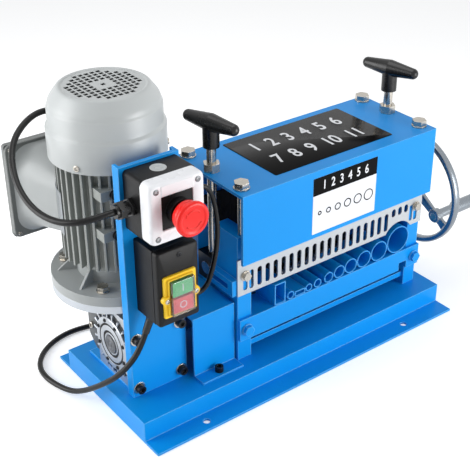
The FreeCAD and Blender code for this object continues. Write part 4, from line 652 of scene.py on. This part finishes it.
# Satin, with no sharp gleam.
anodised = finish("satin_anodised_aluminium_plate", "#8f9497", 0.42, 0.3, 0.006, patch=(12, 0.06),
                  edge_mm=0.3, Metallic=0.7)
dress(cast_alloy, "gearbox_housing", "jaw_coupling")
dress(zinc_steel, "cover_bolts", "guard_bolts", "flange_bolts", "shaft_bearings", "adjuster_nuts",
      "left_screw", "right_screw", "crank_pin")
dress(rolled_sheet, "guard_plate")
dress(black_oxide, "socket_screws", "bearing_blocks")
dress(tool_steel, "feed_shaft", "feed_rollers", "blade_shaft", "blade_discs", "motor_rotor")
dress(grey_iron, "worm_wheel")
dress(polished_alloy, "crank_sleeve")

# %% [markdown]
# ### Plastics and rubber
# A moulded part copies its mould: a spark-eroded one gives satin, a polished one gives gloss. Colour goes
# right through, so edges are only a little lighter, from a little wear and a painted highlight.

# %% Plastics
# From a spark-eroded mould: deep black satin.
black_abs = finish("moulded_black_abs", "#070708", 0.44, 0.35, 0.012, patch=(30, 0.12), edge_mm=0.7,
                   edge_wear_and_highlight=("#4c4e52", 0.5), specular=0.22)
# From a polished mould: clean white with a soft gleam.
white_abs = finish("moulded_white_abs", "#ebecef", 0.3, 0.8, 0.004, patch=(60, 0.012), edge_mm=1.2,
                   edge_wear_and_highlight=("#f0f1f3", 0.4))
# Waxy: rounder, glossier gleams than ABS, in black and in a warm yellow.
black_nylon = finish("moulded_black_nylon", "#0c0c0d", 0.28, 0.5, 0.008, patch=(15, 0.15),
                     edge_wear_and_highlight=("#3c3e42", 0.4), specular=0.4)
yellow_nylon = finish("moulded_yellow_nylon", "#f7cb25", 0.34, 0.6, 0.008, patch=(20, 0.03),
                      edge_wear_and_highlight=("#ffd85a", 0.5), specular=0.35)
# Glossy signal red for the cap. The two buttons are satin and paler.
red_abs = finish("moulded_red_abs", "#ee1a12", 0.3, 0.7, 0.004, patch=(25, 0.03), edge_mm=0.8,
                 edge_wear_and_highlight=("#ff5444", 0.35), specular=0.35)
green_button_abs = finish("moulded_green_abs", "#4fc477", 0.34, 0.6, 0.004, patch=(10, 0.03))
red_button_abs = finish("moulded_signal_red_abs", "#ee4a52", 0.34, 0.6, 0.004, patch=(10, 0.03))
# Extruded: one long narrow gleam down each lead.
pvc_sheath = finish("extruded_black_pvc", "#060607", 0.3, 0.9, 0.008, patch=(12, 0.15), edge_mm=0.3,
                    specular=0.28)
# Clear, seen only by its gleams.
clear_hood = finish("clear_moulded_polycarbonate", "#f4f6f8", 0.08, 3.0, 0.004, patch=(20, 0.01),
                    rough_range=0.02, edge_mm=0.3, IOR=1.58, **{"Transmission Weight": 0.99})
# Film: flat and glossy in black, flat and satin in white.
black_vinyl = finish("glossy_black_vinyl_print", "#070708", 0.2, 3.0, 0.004, patch=(60, 0.2), rough_range=0.03,
                     edge_mm=0.2, specular=0.06)
white_vinyl = finish("white_vinyl_print", "#e4e6ea", 0.32, 2.0, 0.004, patch=(60, 0.01), edge_mm=0.2)
# Dull black that swallows light.
black_rubber = finish("calendered_black_rubber", "#0b0b0c", 0.6, 0.8, 0.02, patch=(30, 0.2),
                      edge_mm=0.3, specular=0.3)
dress(black_abs, "estop_base", "estop_collar", "switch_box", "estop_plunger", "cooling_fan")
dress(black_nylon, "cable_glands", "left_t_grip", "right_t_grip", "mains_plug", "mains_strain_relief")
dress(green_button_abs, "start_button")
dress(red_button_abs, "stop_button")
for sheath in (motor_lead, link_lead, mains_lead):
    sheath.data.materials.append(pvc_sheath)
    sheath.data.update_tag()
print(len(bpy.data.materials), "materials")

# %% [markdown]
# ## The fan cowl
# A pressed steel cap covers the fan: a straight skirt, two steps that stiffen it, a slanted shoulder, and a
# flat end with square holes for the air. A lathe profile makes the shell and the perforated_disc tree the
# end. A black disc under it is painted shade that darkens the holes, and three screws hold the skirt.

# %% Fan cowl
MOTOR = (-192.5, 45, 0)
COWL_PROFILE = [
    (67.3, 318.3), (68.7, 318.3), (69.1, 318.8), (69.1, 352.8), (68.8, 353.8), (66.7, 356.2), (66.2, 357.0),
    (65.9, 358.4), (65.8, 376.8), (65.6, 377.8), (64.5, 379.4), (64.2, 380.4), (63.9, 382.4), (63.1, 384.8),
    (61.9, 387.0), (60.4, 389.2), (55.6, 395.6), (54.2, 397.4), (53.0, 398.7), (52.0, 399.4), (51.0, 399.8),
    (49.6, 399.9), (48.6, 399.6), (48.1, 399.0), (47.7, 398.9), (47.5, 398.0),
    (47.6, 396.6), (50.6, 396.2), (56.0, 392.0), (61.0, 385.0), (63.7, 377.0), (63.9, 359.0), (67.2, 352.0),
]
cowl = turned(COWL_PROFILE, MOTOR, "z", steps=120)
sheet = grown("cowl_grille", grille, grille_ids,
              {"Pitch": 0.0076, "Hole": 0.0056, "Reach": 0.0423, "Blank": 0.0112, "Rim": 0.0479,
               "Sheet": 0.0009, "Finish": grey_pressing})
sheet.transform(Matrix.Translation(mm(MOTOR[0], MOTOR[1], 397.9)))
cowl.from_mesh(sheet)
piece("pressed_fan_cowl", cowl, grey_pressing, ["fan_cowl"])
# A black disc under the grille: painted shade seen through the holes.
grille_shade_disc = turned([(0, 394.6), (9, 394.4), (30, 393.2), (44, 391.6), (46, 390.6), (46, 390.0),
                     (30, 392.0), (0, 393.6)], MOTOR, "z")
piece("fan_inlet_mesh", grille_shade_disc, black_rubber)
skirt_ways = [(math.cos(math.radians(a)), math.sin(math.radians(a))) for a in (210, 330, 90)]
copies_of("cowl_screws", cross_screw(3.9, 1.8),
          [((MOTOR[0] + 69.0 * x, MOTOR[1] + 69.0 * y, 325), (x, y, 0)) for x, y in skirt_ways],
          zinc_steel)

# %% [markdown]
# ## Motor plate, lug screws and washers
# A blank aluminium plate is riveted round the fins, two black socket screws close the lugs, and bright
# washers lie under the folded plate's screws. The blank plate is a skin over outlines set at angles, because
# it follows the frame's curve.

# %% Motor plate, lug screws and washers
PLATE_STEPS = 18
plate_loops = []
for step in range(PLATE_STEPS + 1):
    angle = math.radians(146 + 31 * step / PLATE_STEPS)
    plate_loops.append([mm(MOTOR[0] + r * math.cos(angle), MOTOR[1] + r * math.sin(angle), z)
                        for r, z in ((63.1, 224), (64.0, 224.3), (64.0, 279.7), (63.1, 280))])
piece("blank_rating_plate", skin(plate_loops), anodised)
copies_of("lug_screws", socket_head(5.6, 4.5), spots((-222,), -14, (294, 242), FRONT), black_oxide)
washer = turned([(5.7, 0), (8.0, 0), (8.0, 0.85), (7.75, 1.1), (5.95, 1.1), (5.7, 0.85)], (0, 0, 0), "z",
                steps=40)
copies_of("plate_washers", washer, spots((-223, -162), -43.7, (42, 113), FRONT), zinc_steel)

# %% [markdown]
# ## The gearbox's side covers
# Each side of the worm gearbox is shut by a die-cast disc with turned rings and rubber seals round the
# hollow shaft. The rings are lathe profiles, and a plug closes the shaft's bore.

# %% Gearbox covers
FEED_AXIS = (0, 5, 82)
SIDES = ((-231, 1), (-154, -1))
RINGS = [(12.3, 4.1), (12.3, 0.8), (13.0, 0.2), (14.6, 0.2), (15.3, 1.7), (17.6, 1.7), (18.3, 0.2),
         (24.6, 0.2), (25.3, 1.5), (27.0, 1.5), (27.7, 0.4), (34.4, 0.4), (35.5, 1.4), (35.5, 4.1)]
SHAFT_PLUG = [(0, -232.3), (3.4, -232.3), (3.8, -231.7), (5.0, -231.7), (5.4, -232.3), (8.6, -232.3),
              (9.0, -231.9), (10.2, -231.9), (10.6, -232.3), (11.6, -232.1), (11.8, -231.5), (0, -231.5)]
covers, seals = bmesh.new(), bmesh.new()
for face, inwards in SIDES:
    turned([(r, face + d * inwards) for r, d in RINGS], FEED_AXIS, "x", covers, steps=72)
    for inner, outer in ((15.4, 18.1), (25.2, 27.4)):
        turned([(inner, face + 1.6 * inwards), (inner, face + 0.5 * inwards), (outer, face + 0.35 * inwards),
                (outer, face + 1.6 * inwards)], FEED_AXIS, "x", seals, steps=72)
piece("gearbox_cover_rings", covers, cast_alloy, ["gearbox_side_covers"])
piece("shaft_seals", seals, black_rubber)
piece("hollow_shaft_plug", turned(SHAFT_PLUG, FEED_AXIS, "x"), grey_iron, body="feed")

# %% [markdown]
# ### Ribs and screws round the cover
# Cast ribs stiffen the housing, with a flat black ring among them as painted shade for the pockets between
# them, and eight socket screws hold the cover. They repeat round the axis, so the node tree sets them out.

# %% Ribs and cover screws
def round_axis(radius, x, count, first):
    """Places round the feed axis: (place, facing, outward) for each of count."""
    turns = [math.radians(first + 360 * number / count) for number in range(count)]
    return [((x, FEED_AXIS[1] + radius * math.cos(a), FEED_AXIS[2] + radius * math.sin(a)), LEFT,
             (0, math.cos(a), math.sin(a))) for a in turns]


# A flat black ring: painted shade for the pockets between the ribs.
pocket_shade_ring = turned([(35.7, -226.8), (35.7, -227.3), (43.4, -227.3), (43.4, -226.8)], FEED_AXIS, "x", steps=72)
piece("rib_pockets", pocket_shade_ring, black_oxide)
rib = skin([[mm(x, y * w, z) for x, y in ((-4.0, -0.8), (3.6, -1.9), (3.6, 1.9), (-4.0, 0.8))]
            for z, w in ((0, 1.0), (2.3, 0.9), (2.8, 0.55))])
copies_of("gearbox_ribs", rib, round_axis(39.6, -226.9, 20, 5), cast_alloy, scatter=0.0)
copies_of("gearbox_cover_screws", socket_head(2.6, 1.2), round_axis(31.0, -230.7, 8, 22.5), black_oxide)

# %% [markdown]
# ### The worm's housing
# Behind the cover the housing bulges out over the worm, and two plugs close the oil holes. The bulge is one
# outline, shrunk a little at both ends so that its edges look cast.

# %% Worm housing and oil plugs
WORM_HOUSE = [(40, 131), (70, 131), (71.5, 128), (71.5, 62), (70, 58), (58, 46), (54, 44.5), (40, 44.5)]


def shrunk(outline, inset, x):
    """The outline moved in towards its middle, as a loop at a place along x."""
    middle = (sum(y for y, _ in outline) / len(outline), sum(z for _, z in outline) / len(outline))
    return [mm(x, y + (middle[0] - y) * inset, z + (middle[1] - z) * inset) for y, z in outline]


bulge = skin([shrunk(WORM_HOUSE, inset, x) for inset, x in
              ((0.06, -224.6), (0.02, -224.2), (0, -223), (0, -162), (0.02, -160.8), (0.06, -160.4))])
piece("worm_housing_side", bulge, dark_casting)
copies_of("oil_plugs", socket_head(4.6, 3.4), spots((-224.6,), 61, (78, 118), LEFT), zinc_steel)

# %% [markdown]
# ## The emergency stop's cover
# A white moulded cover with soft edges leaves a square open for a black insert. A closed skin that runs over
# the front, into the square and back gives the wall at once.

# %% Stop cover
BOXES_X = -191
STOP_Z = 300
cover = faced_front([
    (71, 73, 7, -77.8), (71, 73, 7, -90.2), (70.4, 72.4, 7, -92.6), (68.8, 70.8, 6.6, -94.5),
    (66.6, 68.6, 6, -95.6), (64.6, 66.6, 5.5, -95.8), (42.4, 42.4, 1.2, -95.8), (40.6, 40.6, 0.8, -95.2),
    (40, 40, 0.6, -94.2), (40, 40, 0.6, -93.3), (66.6, 68.6, 5, -93.3), (67, 69, 5, -77.8)], BOXES_X, STOP_Z,
    closed=True)
cover = faced_front([(41, 12.4, 0.9, -95.7), (41, 12.4, 0.9, -96.1), (40.2, 11.6, 0.7, -96.5)], BOXES_X, 327.4,
                    cover)
piece("stop_box_cover", cover, white_abs, ["estop_cover"])
copies_of("stop_cover_screws", cross_screw(3.5, 1.1), spots((-217.5, -164.5), -95.8, (271.5, 328.5), FRONT),
          screw_steel, ["panel_screws"])
KNOCK_OUT = [(0, 337.1), (3.6, 337.1), (4.0, 336.8), (5.0, 336.8), (5.4, 337.1), (8.0, 337.1), (9.2, 336.9),
             (9.4, 336.5), (9.4, 335.6), (0, 335.6)]
piece("cable_knock_out", turned(KNOCK_OUT, (-191.8, -60.8, 0), "z"), grey_pressing)

# %% [markdown]
# ### The mushroom cap
# A drum, a waist and a wide disc with a rolled rim, so that a palm finds it. Two raised arrows say which way
# to turn it free. The cap is a lathe profile, and each arrow is a skin along an arc.

# %% Mushroom cap
CAP = (BOXES_X, 0, STOP_Z)
CAP_PROFILE = [
    (0, -125.0), (13.6, -125.0), (14.6, -125.2), (15.4, -125.9), (16.6, -126.0), (18.3, -125.8),
    (19.6, -125.0), (20.3, -123.7), (20.5, -122.2), (20.3, -120.8), (19.5, -119.5), (18.2, -118.8),
    (17.2, -118.6), (16.8, -118.1), (16.8, -117.5), (17.3, -117.0), (17.5, -116.2), (17.2, -110.6),
    (16.7, -109.4), (15.6, -109.0), (8.4, -109.0), (8.4, -119.8), (0, -119.8),
]
ARROW_RADIUS, ARROW_TURN, ARROW_STEPS, SHAFT_SHARE = 10.6, 120, 24, 0.8
cap = turned(CAP_PROFILE, CAP, "y", steps=96)
for first in (35, 215):
    loops = []
    for step in range(ARROW_STEPS + 1):
        part = step / ARROW_STEPS
        angle = math.radians(first + ARROW_TURN * part)
        half = 0.75 if part < SHAFT_SHARE else max(0.05, 2.4 * (1 - part) / 0.2)
        loops.append([mm(CAP[0] + r * math.cos(angle), y, CAP[2] + r * math.sin(angle))
                      for r, y in ((ARROW_RADIUS - half, -124.8), (ARROW_RADIUS + half, -124.8),
                                   (ARROW_RADIUS + half * 0.8, -125.7), (ARROW_RADIUS - half * 0.8, -125.7))])
    skin(loops, cap)
piece("mushroom_cap", cap, red_abs, ["estop_cap"], body="estop_head")

# %% [markdown]
# ## The start and stop switch
# A black lid with rounded edges and a yellow bezel with two screw ears. Both are closed skins that run
# over the front and back along the opening, as the moulded walls do.

# %% Switch lid and bezel
BEZEL_Z, EARS_Z = 191.8, 189.8
lid = faced_front([
    (54, 96, 3, -80.8), (54, 96, 3, -81.7), (55, 97, 3.4, -82.1), (55, 97, 3.4, -87.8),
    (54.4, 96.4, 3.4, -89.4), (53.0, 95.0, 3.1, -90.5), (51.2, 93.2, 2.6, -91.0),
    (27.4, 41.4, 0.5, -91.0, -9.7), (27.4, 41.4, 0.5, -89.0, -9.7), (51, 93, 1.5, -89.0),
    (51, 93, 1.5, -80.8)], BOXES_X, 201.5, closed=True)
piece("switch_box_lid", lid, black_abs, ["switch_lid"])
bezel = faced_front([
    (43.5, 54, 2.4, -91), (43.5, 54, 2.4, -93.0), (42.4, 52.9, 2.2, -94.0), (34.6, 48.6, 1.8, -94.0),
    (34.0, 48.0, 1.6, -96.4), (33.0, 47.0, 1.4, -97.0), (31.2, 45.2, 1.2, -97.0), (31.0, 45.0, 1.0, -94.4),
    (27.4, 41.4, 0.6, -94.4), (27.4, 41.4, 0.6, -91)], BOXES_X, BEZEL_Z, closed=True)
for side in (-1, 1):
    turned([(1.6, -91), (5.5, -91), (5.5, -95.9), (4.9, -97.0), (1.6, -97.0)],
           (BOXES_X + 19.5 * side, 0, EARS_Z), "y", bezel, steps=32)
piece("switch_bezel", bezel, yellow_nylon, ["switch_faceplate"])

# %% [markdown]
# ### Clear hood, marks and screws
# The hood is a thin closed shell, so light goes in and out of the plastic as in the real one, and it stays
# still. The bar and ring that every switch has ride on the buttons.

# %% Hood, marks and switch screws
hood = faced_front([
    (28.4, 42.4, 0.8, -100.6), (28.8, 42.8, 0.8, -94.6), (30.8, 44.8, 1.6, -94.6), (30.8, 44.8, 1.6, -100.6),
    (30.0, 44.0, 1.5, -101.5), (28.8, 42.8, 1.2, -101.8)], BOXES_X, BEZEL_Z)
piece("clear_button_hood", hood, clear_hood)
bar = faced_front([(1.3, 9.2, 0.3, -98.9), (1.3, 9.2, 0.3, -99.2)], BOXES_X, 202.6)
piece("on_mark", bar, white_vinyl, body="start_key")
ring = turned([(3.5, -98.9), (4.5, -98.9), (4.5, -99.2), (3.5, -99.2)], (BOXES_X, 0, 181.0), "y", steps=40)
piece("off_mark", ring, white_vinyl, body="stop_key")
copies_of("bezel_screws", cross_screw(3.0, 1.4), spots((-210.5, -171.5), -97, (EARS_Z,), FRONT), zinc_steel,
          ["panel_screws"])
copies_of("lid_screw", cross_screw(3.4, 1.0), spots((-189,), -91, (241,), FRONT), black_oxide,
          ["panel_screws"])

# %% [markdown]
# ## The terminal box
# The motor's wires are joined in a cast box behind it. Big round corners let it leave its mould, and a boss
# takes the gland. A skin over round-cornered outlines gives its funnel. Rim and lid are a darker grey, a
# painted shade, with a screw through each corner.

# %% Terminal box
BOX_Z = 243
CORNERS_X, CORNERS_Z = (-268.5, -116.5), (186, 300)
casting = faced_front([(104, 84, 22, 85), (122, 96, 28, 112), (136, 106, 33, 134), (141, 110, 34, 142),
                       (147, 114, 30, 147), (153, 119, 24, 149.4)], MOTOR[0], BOX_Z)
turned([(3, 280), (11.5, 280), (11.5, 297.4), (10.9, 298), (3, 298)], (-199, 131.5, 0), "z", casting, steps=40)
piece("terminal_box_casting", casting, grey_casting, ["terminal_box"])
box_rim = faced_front([(164, 126, 8, 153), (164, 126, 8, 149.8), (162.6, 124.6, 8, 149)], MOTOR[0], BOX_Z)
piece("terminal_box_rim", box_rim, lid_and_rim_painted_shade)
copies_of("terminal_screw_ends", cross_screw(2.4, 1.2), spots(CORNERS_X, 149, CORNERS_Z, FRONT), zinc_steel)
copies_of("terminal_lid_screws", cross_screw(3.6, 2.0), spots(CORNERS_X, 159, CORNERS_Z, BACK), zinc_steel,
          ["panel_screws"])

# %% [markdown]
# ## The handwheel
# Cast in aluminium and polished: a rim with a rounded section, three spokes that taper outwards, a hub, and
# a boss for the crank pin. Rim and hub are lathe profiles. The spokes are skins over rounded outlines.

# %% Handwheel
WHEEL = (0, 5, 138)
WHEEL_X, RIM_RADIUS = 285, 81.5
SPOKE = ((13, 15, 8), (22, 13.6, 7.6), (50, 11.6, 6.8), (70, 12.0, 6.8), (79, 15, 7.2))
wheel = turned([(RIM_RADIUS + a, WHEEL_X + b) for a, b in rounded(9, 11, 3.4)], WHEEL, "x", steps=120)
turned([(8.5, 264.5), (14.8, 264.5), (16.0, 265.7), (16.0, 289.0), (14.8, 290.5), (8.5, 290.5)], WHEEL, "x",
       wheel, steps=64)
for angle in (211, 331, 91):
    y_way, z_way = math.cos(math.radians(angle)), math.sin(math.radians(angle))
    skin([[mm(WHEEL_X + b, WHEEL[1] + reach * y_way - a * z_way, WHEEL[2] + reach * z_way + a * y_way)
           for a, b in rounded(wide, thick, 2.4)] for reach, wide, thick in SPOKE], wheel)
turned([(5.0, 279.5), (9.0, 279.5), (10.0, 280.5), (10.0, 289.5), (9.0, 290.5), (5.0, 290.5)],
       (0, -43.0, 109.16), "x", wheel, steps=40)
piece("cast_handwheel", wheel, polished_alloy, ["handwheel"], body="blade_head")

# %% [markdown]
# ## Prints on the cover
# The black glossy panel numbers the eleven channels, and the white plate is a plain chart of six sizes. Both
# are vinyl film, a fraction of a millimetre thick, so they are skins with a thin edge.

# %% Top panel and front plate
CHART_X = 72.75
top_panel = skin([[mm(74.5 + a, 0.5 + b, z) for a, b in rounded(w, h, 2.5)]
                  for w, h, z in ((195, 109, 271.9), (195, 109, 272.35), (194.5, 108.5, 272.55))])
piece("channel_panel", top_panel, black_vinyl)
plate = faced_front([(106.5, 77.8, 0.6, -74.4), (106.5, 77.8, 0.6, -74.8)], CHART_X, 223.1)
piece("size_plate", plate, white_vinyl)
header = faced_front([(106.5, 24, 0.6, -74.7), (106.5, 24, 0.6, -74.95)], CHART_X, 250.0)
piece("size_plate_header", header, black_vinyl)

# %% [markdown]
# ### Figures and rings
# The figures are text curves made into meshes, narrowed to fit their channels and thickened a little, as
# bold print is. Rings that grow by a millimetre each make the chart.

# %% Figures and rings
# A digit is 0.7 of its text's size high, and bold print adds a 42nd of its height.
DIGIT, BOLD, NARROW, FILM = 700, 42000, 0.78, 0.00006


def printed(name, figures, high, spot, turn):
    """Plain white figures, high in millimetres, as a thin print set in its place."""
    text = bpy.data.curves.new(name + "_text", "FONT")
    text.body = figures
    text.size = high / DIGIT
    text.align_x, text.align_y = "CENTER", "CENTER"
    text.offset = high / BOLD
    text.extrude = FILM
    holder = linked(name + "_text", text)
    mesh = bpy.data.meshes.new_from_object(holder.evaluated_get(bpy.context.evaluated_depsgraph_get()))
    bpy.data.objects.remove(holder)
    mesh.transform(Matrix.Translation(mm(*spot)) @ turn @ Matrix.Diagonal((NARROW, 1, 1, 1)))
    piece(name, mesh, white_vinyl)


flat_on_top, on_the_front = Matrix.Identity(4), Matrix.Rotation(math.pi / 2, 4, "X")
printed("channel_figures_back", "1  2  3  4  5  6", 23, (73, 23, 272.6), flat_on_top)
printed("channel_figures_front", "7  8  9  10  11", 23, (76, -20, 272.6), flat_on_top)
printed("size_figures", "1  2  3  4  5  6", 12, (CHART_X, -75.0, 249.6), on_the_front)
chart = bmesh.new()
for number in range(6):
    radius = 3.0 + 1.0 * number
    turned([(radius - 1.4, -74.75), (radius, -74.75), (radius, -74.98), (radius - 1.4, -74.98)],
           (31.0 + 14.0 * number + number * number * 0.5, 0, 212), "y", chart, steps=32)
piece("size_chart_rings", chart, black_vinyl)

# %% [markdown]
# ## The strip curtain behind the discs
# Black rubber strips close the back of the head, a dark sheet added as painted shade, so the slots of the
# guard look dark. One strip is a skin over round-cornered outlines, and the node tree hangs twenty of them.

# %% Strip curtain
STRIPS, STRIP_PITCH = 20, 15.7
strip = skin([[mm(a, b, z) for a, b in rounded(w, h, 1.6, 3)]
              for w, h, z in ((14.6, 151.6, -1), (15.4, 152, -0.7), (15.4, 152, 0.7), (14.6, 151.6, 1))])
hooks = spots([-77.2 + STRIP_PITCH * number for number in range(STRIPS)], 61.3, (129,), FRONT)
# The curtain is a dark sheet added as painted shade behind the guard.
copies_of("strip_curtain", strip, hooks, black_rubber, scatter=0.0)

# %% Finish
scene.view_settings.view_transform = "Standard"
